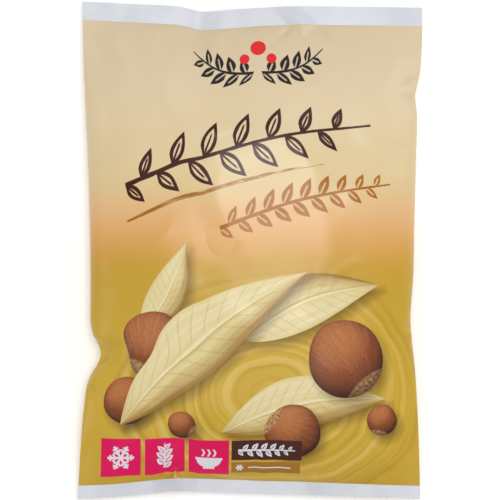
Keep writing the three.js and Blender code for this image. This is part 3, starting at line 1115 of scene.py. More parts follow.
def mushroom(number):
    half = 1 if number <= COLUMN_COUNT else -1
    column = (number - 1) % COLUMN_COUNT
    size = "outer" if column in (0, COLUMN_COUNT - 1) else "inner"
    cap_outwards = number % 2 == 1
    points, faces, flat = turned(STEM_RADIUS[size], CAP_RADIUS[size])
    piece = mesh_piece(f"whole_mushroom_{number:02d}", points * MM, faces)
    piece.data.polygons.foreach_set("use_smooth", [True] * len(faces))
    add_uv(piece.data, flat)
    grown(piece, gills, {"Count": GILL_COUNT, "Blade": blades[size]})
    co = np.empty(len(piece.data.vertices) * 3)
    piece.data.vertices.foreach_get("co", co)
    co = laid(
        co.reshape(-1, 3) / MM,
        x=(column - (COLUMN_COUNT - 1) / 2) * COLUMN_PITCH,
        y=half * (ROW_START if cap_outwards else ROW_START + LENGTH),
        heading=half if cap_outwards else -half,
        stem=STEM_RADIUS[size],
        bend=-STEM_BEND if number % 3 == 0 else STEM_BEND,
    )
    piece.data.vertices.foreach_set("co", (co * MM + shift).ravel())
    piece.data.update()
    return piece


contents = [mushroom(number) for number in range(1, 2 * COLUMN_COUNT + 1)]
for blade in blades.values():
    bpy.data.objects.remove(blade)
print("mushrooms:", len(contents), "with", sum(map(triangles, contents)), "triangles")

# %% [markdown]
# All film shares one way of wearing: faint scuffs change its gloss, and a very fine grain keeps
# its highlight from looking like glass. Both are in one shader group, which every film material
# places with its own strengths. It reads Object coordinates, which are the bag's own metres.

# %% Shared shader group: film wear
PATCH_SCALE = 28  # noise scales are waves to the metre
STREAK_SCALE = 160
STREAK_SHARE = 0.6
STREAK_BEND = 1.5
STREAK_EDGE = (0.55, 0.75)
GRAIN_SCALES = (900, 240)
GRAIN_DEPTH = 0.0004
FILM_SHINE = {"Specular IOR Level": 0.2, "Coat Weight": 0.32, "Coat Roughness": 0.2}
BARE_SHINE = {"Specular IOR Level": 0.3, "Coat Weight": 0.06, "Coat Roughness": 0.2}


def film_wear_rule(given):
    position = given["Position"]
    patches = noise(position, PATCH_SCALE, 3)
    streaks = noise(position, STREAK_SCALE, 4, Distortion=STREAK_BEND).ramp(*STREAK_EDGE)
    scuff = given["Scuff"]
    roughness = given["Roughness"] + (patches - 0.5) * scuff + streaks * scuff * STREAK_SHARE
    fine, coarse = [noise(position, scale) for scale in GRAIN_SCALES]
    grain = {"Strength": given["Grain"], "Distance": GRAIN_DEPTH, "Height": fine + coarse}
    return {"Roughness": roughness, "Normal": flow(position.tree, "ShaderNodeBump", grain)}


def place_group(tree, group, values):
    """Places a node group and returns its outputs by name."""
    made = node(tree, "ShaderNodeGroup", node_tree=group)
    for label, value in values.items():
        feed(made.inputs[label], value)
    return {socket.name: Flow(socket) for socket in made.outputs}


def new_material(name):
    material = bpy.data.materials.new(name)
    material.use_nodes = True
    return material, material.node_tree.nodes["Principled BSDF"]


def object_place(tree):
    return flow(tree, "ShaderNodeTexCoord", output="Object")


def wear(shader, roughness, scuff, grain, shine):
    """Gives a film material its gloss, scuffs and grain."""
    position = object_place(shader.id_data)
    values = {"Position": position, "Roughness": roughness, "Scuff": scuff, "Grain": grain}
    for label, value in place_group(shader.id_data, film_wear, values).items():
        feed(shader.inputs[label], value)
    for label, value in shine.items():
        shader.inputs[label].default_value = value


wear_inputs = {"Position": "VECTOR", "Roughness": 0.4, "Scuff": 0.08, "Grain": 0.05}
film_wear = new_tree("film_wear", wear_inputs, film_wear_rule)

# %% [markdown]
# The seals are bare white film. Two plies pressed together are a little cooler and a little
# uneven, so a slow noise moves the colour between two close whites.

# %% White film
CLOUD_SCALE = 22
CLOUD_EDGE = (0.35, 0.65)
WHITE_WEAR = (0.42, 0.06, 0.04)  # roughness, scuff, grain


def linear(red, green, blue):
    """An sRGB colour given from 0 to 255, as the linear values that Blender works with."""
    values = [channel / 255 for channel in (red, green, blue)]
    values = [v / 12.92 if v <= 0.04045 else ((v + 0.055) / 1.055) ** 2.4 for v in values]
    return (*values, 1.0)


def over(colour, mask, ink):
    """A colour with an ink over it where a mask is 1."""
    mix = node(mask.tree, "ShaderNodeMix", {0: mask}, data_type="RGBA")
    feed(mix.inputs[6], colour)
    feed(mix.inputs[7], ink)
    return Flow(mix.outputs[2])


WHITE_LIGHT = linear(214, 217, 223)
WHITE_SHADE = linear(204, 207, 214)


def white_film():
    material, shader = new_material("white_film")
    wear(shader, *WHITE_WEAR, BARE_SHINE)
    cloud = noise(object_place(shader.id_data), CLOUD_SCALE, 3).ramp(*CLOUD_EDGE)
    feed(shader.inputs["Base Color"], over(WHITE_SHADE, cloud, WHITE_LIGHT))
    return material


print("whites:", WHITE_LIGHT[:3], WHITE_SHADE[:3])

# %% [markdown]
# The print's ground fades down the bag from cream through peach to gold. The stops of the fade
# are heights on the flat web, so the ground follows the film. An image could hold the fade too,
# but a colour ramp stays smooth however close one looks. Front, back and fin share it.

# %% Printed ground
GROUND_STOPS = [  # height on the web in mm, colour
    (-168, (190, 152, 46)),
    (-130, (202, 166, 53)),
    (-60, (202, 165, 54)),
    (-14, (194, 157, 45)),
    (2, (213, 158, 70)),
    (22, (230, 176, 119)),
    (46, (222, 201, 149)),
    (95, (226, 205, 169)),
    (150, (217, 198, 165)),
]


def printed_ground_rule(given):
    low = GROUND_STOPS[0][0]
    high = GROUND_STOPS[-1][0]
    height_share = (given["Height"] - low) / (high - low)
    ramp = node(height_share.tree, "ShaderNodeValToRGB", {0: height_share})
    ramp.color_ramp.interpolation = "B_SPLINE"
    elements = ramp.color_ramp.elements
    while len(elements) < len(GROUND_STOPS):
        elements.new(0.5)
    for element, (height, _) in zip(elements, GROUND_STOPS):
        element.position = (height - low) / (high - low)
    for element, (_, colour) in zip(elements, GROUND_STOPS):
        element.color = linear(*colour)
    return {"Color": Flow(ramp.outputs[0])}


def web_place(tree):
    """Where a point of the film lies on the flat web: x and y in mm from its middle."""
    x, y, _ = split(flow(tree, "ShaderNodeUVMap", uv_map=UV_NAME))
    return (x - 0.5) * SHEET_SPAN, (y - 0.5) * SHEET_SPAN


printed_ground = new_tree("printed_ground", {"Height": 0.0}, printed_ground_rule)

# %% [markdown]
# The front carries printed shapes. Each kind is a shader group that works out, from a place on
# the flat web, how deep inside the shape that place is. The groups put out masks and inner
# coordinates, and the material turns those into colour. Everything is measured in mm of web, so
# the print bends with the film. A painted image would do the same, but it would be a file.

# %% Shapes in a print
PRINT_EDGE = 0.35  # how soft a printed edge is, in mm
PLACE = ("X", "Y", "Start X", "Start Y")


def shape(name, rule, *labels, **values):
    """A group for one kind of shape: it takes a place on the web and the sizes of the shape."""
    return new_tree(name, {**dict.fromkeys((*PLACE, *labels), 0.0), **values}, rule)


def inside(distance, softness=PRINT_EDGE):
    """1 where a distance to a shape's edge is below 0, and 0 outside, with a soft step."""
    return (0.5 - distance / softness).bounded()


def arch(share):
    """0 at both ends of a run and 1 in its middle."""
    return (share * math.pi).apply("SINE")


def turned_place(given):
    """Coordinates along and beside a line that starts at a place and points at an angle."""
    from_x = given["X"] - given["Start X"]
    from_y = given["Y"] - given["Start Y"]
    cosine = given["Angle"].apply("COSINE")
    sine = given["Angle"].apply("SINE")
    return from_x * cosine + from_y * sine, from_y * cosine - from_x * sine


print("a printed edge is", PRINT_EDGE, "mm soft")

# %% [markdown]
# Leaves and brush strokes follow a bent rib: the way along it and the way beside it are all that
# such a shape has to know. A leaf is pointed at both ends. A stroke starts full and runs dry.

# %% Leaves and brush strokes
LEAF_FULLNESS = 0.85  # below 1, a leaf is widest nearer its start
NARROWEST = 0.001
STROKE_EDGE = 0.5
STROKE_TIP = 0.02  # how far past its ends a stroke is pressed, as a share of its length
STROKE_SWELL = 0.35
STROKE_THINNING = 0.6
BRISTLES = (0.05, 1.6)  # noise waves to the mm along and across a stroke
BRISTLE_SCALE = 1.6
RAGGED_SCALE = 5
RAGGED = 0.5  # how much a noise moves a stroke's edge
DRY_ABOVE = 0.6  # bristles above this leave no ink, and earlier towards the stroke's end
DRYING = 0.22
DRY_EDGE = 0.05


def rib_place(given):
    """The way along a bent rib in mm and as a share, the way beside it and past its ends."""
    run, aside = turned_place(given)
    share = (run / given["Length"]).bounded()
    aside = aside - given["Bend"] * arch(share)
    return run, share, aside, (run - given["Length"]).most(-run)


def leaf_rule(given):
    """A pointed leaf. Along runs from 0 to 1, and Aside from -1 to 1."""
    _, along, aside, beyond = rib_place(given)
    half = given["Width"] * 0.5 * arch(along**LEAF_FULLNESS).most(NARROWEST)
    mask = inside((abs(aside) - half).most(beyond), given["Softness"])
    return {"Mask": mask, "Along": along, "Aside": aside / half}


def stroke_rule(given):
    """A brush stroke that starts full, thins out and runs dry."""
    run, along, aside, beyond = rib_place(given)
    press = (along + STROKE_TIP) ** STROKE_SWELL * (1.0 + STROKE_TIP - along) ** STROKE_THINNING
    where = vector(run * BRISTLES[0], aside * BRISTLES[1], given["Width"])
    bristles = noise(where, BRISTLE_SCALE, 3)
    edge = noise(where, RAGGED_SCALE) - 0.5
    half = given["Width"] * 0.5 * press * (1.0 + edge * RAGGED)
    body = inside((abs(aside) - half).most(beyond), STROKE_EDGE)
    dry = 1.0 - (bristles - DRY_ABOVE + given["Dryness"] * along * DRYING).ramp(0.0, DRY_EDGE)
    return {"Mask": body * dry}


leaf_sizes = ("Angle", "Length", "Width", "Bend")
leaf_shape = shape("leaf_shape", leaf_rule, *leaf_sizes, Softness=PRINT_EDGE)
brush_stroke = shape("brush_stroke", stroke_rule, *leaf_sizes, "Dryness")

# %% [markdown]
# A sprig is one leaf that repeats. The way along the stem is cut into cells, half a cell out of
# step on the two sides, and each cell draws the leaf at its own size.

# %% Sprigs
SPRIG_FULLNESS = 0.8
SIZE_WAVE = (2.7, 0.35)  # leaves grow and shrink along the stem as a sine: its turn and phase
LEAFY = (0.02, 0.97)  # the share of the stem that bears leaves
TIP_SHARPNESS = 50
UNEVEN = (0.65, 0.7)  # a line's least width, and what a noise adds to it
UNEVEN_WAVES = 0.12  # to the mm
RIB_WIDTH = 0.55
RIB_FADE = (0.6, 0.7)
RIB_DEPTH = 0.85
STEM_TAPER = (1.25, 0.7)


def sprig_rule(given):
    """A stem with leaves in turn left and right. Lines is its outline, and Fill the whole leaves."""
    pitch = given["Pitch"]
    run, share, aside, beyond = rib_place(given)
    left = aside.apply("GREATER_THAN", 0.0)
    shifted = run + left * pitch * 0.5
    cell = (shifted / pitch).apply("FLOOR")
    local = shifted - cell * pitch
    middle = (cell + 0.5 - left * 0.5) * pitch / given["Length"]
    size = 0.5 + 0.5 * (middle.bounded() * SIZE_WAVE[0] + SIZE_WAVE[1]).apply("SINE")
    leafy = middle.apply("GREATER_THAN", LEAFY[0]) * middle.apply("LESS_THAN", LEAFY[1])
    cosine = given["Lean"].apply("COSINE")
    sine = given["Lean"].apply("SINE")
    from_stem = abs(aside)
    along = (local * cosine + from_stem * sine) / (given["Leaf Length"] * size)
    across = from_stem * cosine - local * sine
    bounded = along.bounded()
    half = given["Leaf Width"] * 0.5 * size * arch(bounded**SPRIG_FULLNESS).most(0.0)
    leaf = (abs(across) - half).most((along - 1.0).most(-along) * TIP_SHARPNESS)
    web = vector(given["X"] * UNEVEN_WAVES, given["Y"] * UNEVEN_WAVES)
    line = given["Line"] * 0.5 * (UNEVEN[0] + UNEVEN[1] * noise(web, 1))
    rim = inside(abs(leaf + line) - line) * leafy
    rib = inside(abs(across) - line * RIB_WIDTH) * inside(leaf)
    rib = rib * (1.0 - bounded.ramp(*RIB_FADE)) * leafy
    stem = inside((from_stem - line * (STEM_TAPER[0] - share * STEM_TAPER[1])).most(beyond))
    filled = (inside(leaf) * leafy * (1.0 - rib * RIB_DEPTH)).most(stem)
    return {"Lines": rim.most(rib).most(stem), "Fill": filled}


sprig_sizes = ("Angle", "Length", "Bend", "Pitch", "Leaf Length", "Leaf Width", "Line", "Lean")
sprig = shape("sprig", sprig_rule, *sprig_sizes)

# %% [markdown]
# The other shapes stand round a middle point. The first two are round nuts and blocks with
# rounded corners. A block whose corners take up half its side is a plain disc.

# %% Shapes round a middle
NUT_POINT = 0.16


def away(x, y):
    return (x * x + y * y).apply("SQRT")


def nut_rule(given):
    """A round nut with a slight point. Up and Across run from -1 to 1, and Dome is its height."""
    up, across = [way / given["Radius"] for way in turned_place(given)]
    squeezed = across * (1.0 + NUT_POINT * up.most(0.0) ** 2.0)
    out = away(up, squeezed)
    dome = (1.0 - out * out).most(0.0).apply("SQRT")
    mask = inside((out - 1.0) * given["Radius"], given["Softness"])
    return {"Mask": mask, "Up": up, "Across": across, "Dome": dome}


def block_rule(given):
    """A rectangle with rounded corners."""
    x, y = turned_place(given)
    beyond_x = (abs(x) - given["Wide"] * 0.5 + given["Corner"]).most(0.0)
    beyond_y = (abs(y) - given["High"] * 0.5 + given["Corner"]).most(0.0)
    return {"Mask": inside(away(beyond_x, beyond_y) - given["Corner"])}


nut_shape = shape("nut_shape", nut_rule, "Angle", "Radius", Softness=PRINT_EDGE)
rounded_block = shape("rounded_block", block_rule, "Angle", "Wide", "High", "Corner")

# %% [markdown]
# Two small signs say that the food is frozen and how it is eaten: a flake of frost and a steaming
# bowl. All six arms of a flake are one, because places round it are folded into one sector.

# %% A flake and a bowl
FLAKE_TWIGS = [(0.42, 0.34), (0.7, 0.24)]  # place on the arm and length, as shares of the radius
TWIG_WIDTH = 0.85
BOWL_EDGE = PRINT_EDGE / 9  # a bowl is drawn in shares of its radius of about 9 mm
CUP = (0.92, 1.5, 0.02)  # radius, squash, how far its top is below the middle
BRIM = (1, 0.02)  # half length, height
FOOT = (0.42, -0.78)
STEAM = (0.3, 0.52)
WISPS_APART = 0.42
WISP_WAVE = (0.07, 9)  # width, turn


def snowflake_rule(given):
    """A six-armed flake with two pairs of twigs on each arm."""
    x = given["X"] - given["Start X"]
    y = given["Y"] - given["Start Y"]
    sector = math.pi / 3
    turn = y.apply("ARCTAN2", x) + 4 * math.pi + sector / 2
    folded = abs(turn - (turn / sector).apply("FLOOR") * sector - sector / 2)
    along = away(x, y) * folded.apply("COSINE")
    aside = away(x, y) * folded.apply("SINE")
    half = given["Line"] * 0.5
    mask = inside((aside - half).most(along - given["Radius"]))
    for base, length in FLAKE_TWIGS:
        from_base = along - given["Radius"] * base
        run = from_base * math.cos(sector) + aside * math.sin(sector)
        off = abs(aside * math.cos(sector) - from_base * math.sin(sector))
        ends = (run - given["Radius"] * length).most(-run)
        mask = mask.most(inside((off - half * TWIG_WIDTH).most(ends)))
    return {"Mask": mask}


def bowl_rule(given):
    """A round bowl on a foot, with three wisps of steam over it."""
    radius = given["Radius"]
    x = (given["X"] - given["Start X"]) / radius
    y = (given["Y"] - given["Start Y"]) / radius
    half = given["Line"] / radius * 0.5
    cup = ((x * x + y * y * CUP[1]).apply("SQRT") - CUP[0]).most(y + CUP[2])
    mask = inside(cup, BOWL_EDGE)
    for half_length, height in (BRIM, FOOT):
        bar = (abs(x) - half_length).most(abs(y - height) - half)
        mask = mask.most(inside(bar, BOWL_EDGE))
    waved = x + WISP_WAVE[0] * (y * WISP_WAVE[1]).apply("SINE")
    nearest = abs(waved).apply("MINIMUM", abs(abs(waved) - WISPS_APART))
    steam = (nearest - half * 0.8).most(abs(y - STEAM[1]) - STEAM[0])
    return {"Mask": mask.most(inside(steam, BOWL_EDGE))}


snowflake = shape("snowflake", snowflake_rule, "Radius", "Line")
steaming_bowl = shape("steaming_bowl", bowl_rule, "Radius", "Line")

# %% [markdown]
# A printed picture looks solid when its shapes are shaded like lit things. A leaf is lighter on
# one half and darkens at its rim, tip and base. One number, its shade, gathers all of that and is
# turned into colour. Veins and the rib are drawn over it. How much each adds is listed below.

# %% Leaf colours as a shader group
LEAF_LIGHT = linear(238, 228, 190)
LEAF_MIDDLE = linear(218, 198, 134)
LEAF_DARK = linear(160, 118, 48)
LEAF_SHADE = 0.56  # a leaf's own shade, from 0 to 1, and what each thing adds to it or takes
LIT_SHADE = 0.3
RIM_SHADE = 0.34
FIBRE_SHADE = 0.35
CLOUD_SHADE = 0.5
TIP_SHADE = 0.2
BASE_SHADE = 0.3
LEAF_TIP = (0.75, 1)
LEAF_BASE = (0, 0.16)
FIBRES = (3, 9)  # noise waves along and across a leaf
VEINS = 13
VEIN_LEAN = 1.7
VEIN_LINE = (0.03, 0.12)  # half width and softness, as shares of the way to the next vein
VEIN_SPAN = (0.02, 0.2)  # where veins begin beside the rib
VEIN_FADE = (0.75, 1)
VEIN_INK = 0.4
MIDRIB = (0.055, 0.035)  # half width at the base, and how much of it the tip loses
MIDRIB_SOFTNESS = 0.05
MIDRIB_LIGHT = 0.75
GROOVE = (0.09, 0.02, 0.06)  # place beside the rib, half width, softness
GROOVE_INK = 0.5


def leaf_colour_rule(given):
    along = given["Along"]
    aside = given["Aside"]
    lit = aside * given["Lit Side"]
    from_rib = abs(aside)
    where = vector(along * FIBRES[0], aside * FIBRES[1], given["Seed"])
    fibres = noise(where, 3, 4) - 0.5
    cloud = noise(where, 0.6) - 0.5
    shade = LEAF_SHADE + lit * LIT_SHADE - from_rib**3.0 * RIM_SHADE
    shade = shade + fibres * FIBRE_SHADE + cloud * CLOUD_SHADE
    shade = shade - along.ramp(*LEAF_TIP) * TIP_SHADE
    shade = shade - (1.0 - along.ramp(*LEAF_BASE)) * BASE_SHADE
    colour = over(LEAF_DARK, shade.ramp(0.0, 0.5), LEAF_MIDDLE)
    colour = over(colour, shade.ramp(0.45, 0.95), LEAF_LIGHT)
    comb = (along * VEINS - from_rib * VEIN_LEAN).apply("FRACT")
    vein = inside(abs(comb - 0.5) - VEIN_LINE[0], VEIN_LINE[1]) * from_rib.ramp(*VEIN_SPAN)
    vein = vein * (1.0 - from_rib.ramp(*VEIN_FADE))
    colour = over(colour, vein * VEIN_INK, LEAF_DARK)
    rib = inside(from_rib - (MIDRIB[0] - along * MIDRIB[1]), MIDRIB_SOFTNESS)
    colour = over(colour, rib * MIDRIB_LIGHT, LEAF_LIGHT)
    groove_at, half_width, softness = GROOVE
    groove = inside(abs(from_rib - groove_at) - half_width, softness)
    groove = groove * lit.apply("LESS_THAN", 0.0)
    return {"Color": over(colour, groove * GROOVE_INK, LEAF_DARK)}


leaf_inputs = dict.fromkeys(("Along", "Aside", "Lit Side", "Seed"), 0.0)
leaf_colour = new_tree("leaf_colour", leaf_inputs, leaf_colour_rule)

# %% [markdown]
# A nut is a dome. Its height, and the two ways from its middle, make the direction that its shell
# faces, and that against the direction of a fixed light gives the light and dark of the shell.

# %% Nut colours as a shader group
NUT_LIGHT = linear(196, 126, 74)
NUT_MIDDLE = linear(138, 74, 38)
NUT_DARK = linear(62, 28, 16)
NUT_SCAR = linear(205, 170, 118)
NUT_FOOT = 1.25  # how far below its middle a nut's streaks meet, in radii
NUT_STREAKS = (16, 0.8)  # noise waves round a nut and up it
STREAK_SHADE = 0.45
SHELL_GRAIN = 14
GRAIN_SHADE = 0.3
DOME_LIGHT = 0.72
GLINT = (0.93, 1.02)  # the light from which a shell glints
GLINT_STRENGTH = 0.35
SCAR_AT = 0.68
SCAR_CURVE = 0.35
SCAR_UNEVEN = 0.12
SCAR_SOFTNESS = 0.05
SCAR_SHADE = 0.8


def nut_colour_rule(given):
    up = given["Up"]
    across = given["Across"]
    turn = across.apply("ARCTAN2", up + NUT_FOOT)
    where = vector(turn * NUT_STREAKS[0], up * NUT_STREAKS[1], given["Seed"])
    streaks = noise(where, 1.6, 4)
    grain = noise(vector(up, across, given["Seed"]), SHELL_GRAIN, 4)
    light = up * given["Light Up"] + across * given["Light Across"] + given["Dome"] * DOME_LIGHT
    shade = light + (streaks - 0.5) * STREAK_SHADE + (grain - 0.5) * GRAIN_SHADE
    colour = over(NUT_DARK, shade.ramp(-0.1, 0.55), NUT_MIDDLE)
    colour = over(colour, shade.ramp(0.5, 1.0), NUT_LIGHT)
    colour = over(colour, light.ramp(*GLINT) * GLINT_STRENGTH, LEAF_LIGHT)
    above_scar = up + SCAR_AT + across * across * SCAR_CURVE
    scar = inside(above_scar + (grain - 0.5) * SCAR_UNEVEN, SCAR_SOFTNESS)
    pale = over(NUT_MIDDLE, grain.ramp(0.35, 0.65), NUT_SCAR)
    pale = over(pale, (1.0 - light.ramp(-0.3, 0.5)) * SCAR_SHADE, NUT_DARK)
    return {"Color": over(colour, scar, pale)}


nut_inputs = dict.fromkeys(("Up", "Across", "Dome", "Light Up", "Light Across", "Seed"), 0.0)
nut_colour = new_tree("nut_colour", nut_inputs, nut_colour_rule)

# %% [markdown]
# The picture lies low on the bag, on a round wooden board whose growth rings sweep through the
# gold ground. Rings are a noise that is stretched round a middle, so each ring wavers a little.

# %% Printed board
BOARD = (14, -92, 118)  # middle x and y, radius
BOARD_SQUASH = 1.25
BOARD_FADE = (0.82, 1)
BOARD_TOP = (-28, 4)
RING_PITCH = 5.2
RING_WANDER = 26
RING_STRENGTH = 0.5
RING_LIGHT = linear(226, 196, 112)
RING_DARK = linear(158, 116, 34)
WANDER_WAVES = 0.012  # noise waves to the mm, by which a ring wanders
DRIFT_WAVES = 0.004  # and by which the rings change from place to place
LIGHT_RINGS = (0.52, 0.68)
DARK_RINGS = (0.3, 0.46)
BOARD_RIM = linear(150, 106, 32)
BOARD_RIM_AT = 0.93  # as a share of the radius
BOARD_RIM_LINE = (1.2, 4)  # half width, softness
BOARD_RIM_TOP = (-40, -10)
BOARD_RIM_INK = 0.35


def wooden_board(x, y, colour):
    """Growth rings round the board's middle, faint lines of light and dark."""
    middle_x, middle_y, radius = BOARD
    wander = (noise(vector(x * WANDER_WAVES, y * WANDER_WAVES), 1, 3) - 0.5) * RING_WANDER
    out = away(x - middle_x, (y - middle_y) * BOARD_SQUASH) + wander
    rings = noise(vector(out / RING_PITCH, x * DRIFT_WAVES, y * DRIFT_WAVES), 1, 4)
    fade = out.ramp(radius * BOARD_FADE[0], radius * BOARD_FADE[1])
    on_board = (1.0 - fade) * (1.0 - y.ramp(*BOARD_TOP))
    colour = over(colour, rings.ramp(*LIGHT_RINGS) * on_board * RING_STRENGTH, RING_LIGHT)
    dark = 1.0 - rings.ramp(*DARK_RINGS)
    colour = over(colour, dark * on_board * RING_STRENGTH, RING_DARK)
    rim = inside(abs(out - radius * BOARD_RIM_AT) - BOARD_RIM_LINE[0], BOARD_RIM_LINE[1])
    rim = rim * (1.0 - y.ramp(*BOARD_RIM_TOP))
    return over(colour, rim * BOARD_RIM_INK, BOARD_RIM)


print("the board's radius in mm:", BOARD[2])

# %% [markdown]
# A thing in the picture looks as if it lay on the board when it first darkens what is below it
# with its own soft shadow. That is the same shape once more, moved aside and with a softer edge.

# %% Shapes with a shadow
SHADOW = linear(62, 36, 12)
SHADOW_DEPTH = 0.62
SHADOW_STEP = (3.2, -4.2)
SHADOW_SOFTNESS = 9


def shaped(x, y, group, values, **more):
    """A shape by the values of its inputs in order, with its angle in degrees."""
    labels = [item.name for item in group.interface.items_tree if item.in_out == "INPUT"]
    given = dict(zip(labels, (x, y, *values)))
    if "Angle" in given:
        given["Angle"] = math.radians(given["Angle"])
    return place_group(x.tree, group, {**given, **more})


def with_shadow(x, y, colour, group, values):
    """A colour that the soft shadow of a shape darkens."""
    moved = (values[0] + SHADOW_STEP[0], values[1] + SHADOW_STEP[1], *values[2:])
    shadow = shaped(x, y, group, moved, Softness=SHADOW_SOFTNESS)["Mask"]
    return over(colour, shadow * SHADOW_DEPTH, SHADOW)


print("shadows fall in mm:", SHADOW_STEP)

# %% [markdown]
# On the board lie pale leaves and brown nuts. They are drawn from the back to the front, and the
# table of nuts says after which leaf each comes, so some lie on a leaf and some under it.

# %% Printed leaves and nuts
LIGHT_ANGLE = math.radians(115)
LIGHT_SIDE = 0.5  # how much of a nut's light comes from that side
LEAF_SEED = 3.7
NUT_SEED = 5.1
LEAVES = [  # start x and y, angle in degrees, length, width, bend, lit side
    (-78, -56, 62, 70, 25, -4, 1),
    (-20, -122, 12, 118, 38, 9, 1),
    (-6, -58, 22, 102, 36, 8, -1),
    (-92, -118, 39, 168, 44, 12, 1),
]
NUTS = [  # middle x and y, angle in degrees, radius, drawn after this many leaves
    (66, -70, 130, 27, 3),
    (-70, -62, 60, 23, 3),
    (-88, -101, 200, 17, 3),
    (30, -122, -30, 20, 4),
    (93, -112, 80, 11, 4),
    (-48, -118, 150, 10, 4),
]


def leaf(x, y, colour, number):
    *values, lit = LEAVES[number]
    colour = with_shadow(x, y, colour, leaf_shape, values)
    form = shaped(x, y, leaf_shape, values)
    inner = {"Along": form["Along"], "Aside": form["Aside"], "Lit Side": lit}
    painted = place_group(x.tree, leaf_colour, {**inner, "Seed": number * LEAF_SEED})
    return over(colour, form["Mask"], painted["Color"])


def nut(x, y, colour, number):
    *values, _ = NUTS[number]
    colour = with_shadow(x, y, colour, nut_shape, values)
    form = shaped(x, y, nut_shape, values)
    mask = form.pop("Mask")
    turn = LIGHT_ANGLE - math.radians(values[2])
    light = {"Light Up": LIGHT_SIDE * math.cos(turn), "Light Across": LIGHT_SIDE * math.sin(turn)}
    painted = place_group(x.tree, nut_colour, {**form, **light, "Seed": number * NUT_SEED})
    return over(colour, mask, painted["Color"])


def picture(x, y, colour):
    colour = wooden_board(x, y, colour)
    for done in range(len(LEAVES) + 1):
        for number in range(len(NUTS)):
            if NUTS[number][-1] == done:
                colour = nut(x, y, colour, number)
        if done < len(LEAVES):
            colour = leaf(x, y, colour, done)
    return colour


print("picture:", len(LEAVES), "leaves and", len(NUTS), "nuts")

# %% [markdown]
# Over the picture stand brush-drawn sprigs in dark brown and ochre, and above them a small emblem
# of two sprigs and three berries. Low on the bag is a row of signs in plain blocks. All are stamps
# of the same few shapes, so a table gives each its place and sizes, in the order of its inputs.

# %% Emblem, sprigs and signs
DARK_BROWN = linear(62, 18, 10)
OCHRE = linear(170, 102, 0)
STROKE_BROWN = linear(160, 100, 10)
SOFT_BLACK = linear(38, 33, 34)
RED = linear(226, 44, 48)
MAGENTA = linear(220, 0, 86)
SIGN_WHITE = linear(222, 219, 226)
BAR_BROWN = linear(71, 31, 20)
BAR_OCHRE = linear(160, 112, 32)
PALE_PANEL = linear(233, 221, 192)
EMBLEM_X = 4
SPRAY = (3, 120, 22, 46, -6, 9, 14, 6.4, 1.8, 0.95)
BERRIES = [(EMBLEM_X, 138, 11), (EMBLEM_X - 9.5, 130, 7), (EMBLEM_X + 9.5, 130, 7)]
SIGN_BLOCKS = [(-91.5, -142), (-60, -142.5), (-28.7, -142)]
SIGN_SIZE = (28.6, 28)
STAMPS = [  # shape, what it puts out, ink, place and sizes
    *[(rounded_block, "Mask", RED, (x, y, 0, size, size, size / 2)) for x, y, size in BERRIES],
    (sprig, "Lines", DARK_BROWN, (-88, 44, 13.5, 176, 7, 23, 25, 10.5, 2.6, 0.95)),
    (brush_stroke, "Mask", STROKE_BROWN, (-87, 20.5, 15.5, 142, 5, 5, 0.7)),
    (sprig, "Fill", OCHRE, (-22, 17, 14, 122, 4, 13, 16, 7, 2.2, 0.9)),
    *[(rounded_block, "Mask", MAGENTA, (x, y, 0, *SIGN_SIZE, 0.5)) for x, y in SIGN_BLOCKS],
    (snowflake, "Mask", SIGN_WHITE, (-91.5, -142, 9.5, 1.7)),
    (sprig, "Fill", SIGN_WHITE, (-60, -152.5, 90, 20, 0, 5.2, 9, 4.8, 1.4, 0.8)),
    (steaming_bowl, "Mask", SIGN_WHITE, (-28.7, -143, 9.5, 1.7)),
    (rounded_block, "Mask", BAR_BROWN, (12, -135.8, 0, 49.5, 14.8, 0.5)),
    (sprig, "Fill", SIGN_WHITE, (-8, -135.8, 0, 40, 0, 6.4, 7, 3.6, 1.2, 0.85)),
    (rounded_block, "Mask", BAR_OCHRE, (11.5, -149.3, 0, 48.5, 9, 0.5)),
    (snowflake, "Mask", SIGN_WHITE, (-7, -149.3, 2.8, 0.7)),
    (rounded_block, "Mask", SIGN_WHITE, (14, -149.3, 0, 30, 0.9, 0.4)),
]
BACK_PANEL = (-64, -20, 0, 84, 150, 4)


def emblem(x, y, colour):
    """Two sprigs that part from the middle: one, drawn on mirrored places."""
    spray = shaped(abs(x - EMBLEM_X), y, sprig, SPRAY)
    return over(colour, spray["Fill"], SOFT_BLACK)


def stamps(x, y, colour):
    for group, output, ink, values in STAMPS:
        colour = over(colour, shaped(x, y, group, values)[output], ink)
    return colour


def bare_panel(x, y, colour):
    return over(colour, shaped(x, y, rounded_block, BACK_PANEL)["Mask"], PALE_PANEL)


print("stamps:", len(STAMPS))

# %% [markdown]
# Both printed films are one kind of material: a satin coat that scuffs a little, over the ground
# and whatever is printed on it. The back is plain, with one bare pale panel.

# %% Printed films
PRINT_WEAR = (0.38, 0.1, 0.05)  # roughness, scuff, grain


def printed_film(name, *layers):
    """A film material with layers of print over its ground, the lowest first."""
    material, shader = new_material(name)
    wear(shader, *PRINT_WEAR, FILM_SHINE)
    x, y = web_place(shader.id_data)
    colour = place_group(shader.id_data, printed_ground, {"Height": y})["Color"]
    for layer in layers:
        colour = layer(x, y, colour)
    feed(shader.inputs["Base Color"], colour)
    print(name, "has", len(shader.id_data.nodes), "nodes")
    return material


printed_front = printed_film("printed_front_film", picture, emblem, stamps)
printed_back = printed_film("printed_back_film", bare_panel)

# %% [markdown]
# A king oyster mushroom has pale flesh with faint fibres along its stem, cream gills, and a
# brown cap with a darker, speckled crown. The UV map runs from the foot to the crown, so the
# colours follow the form however the mushroom lies.

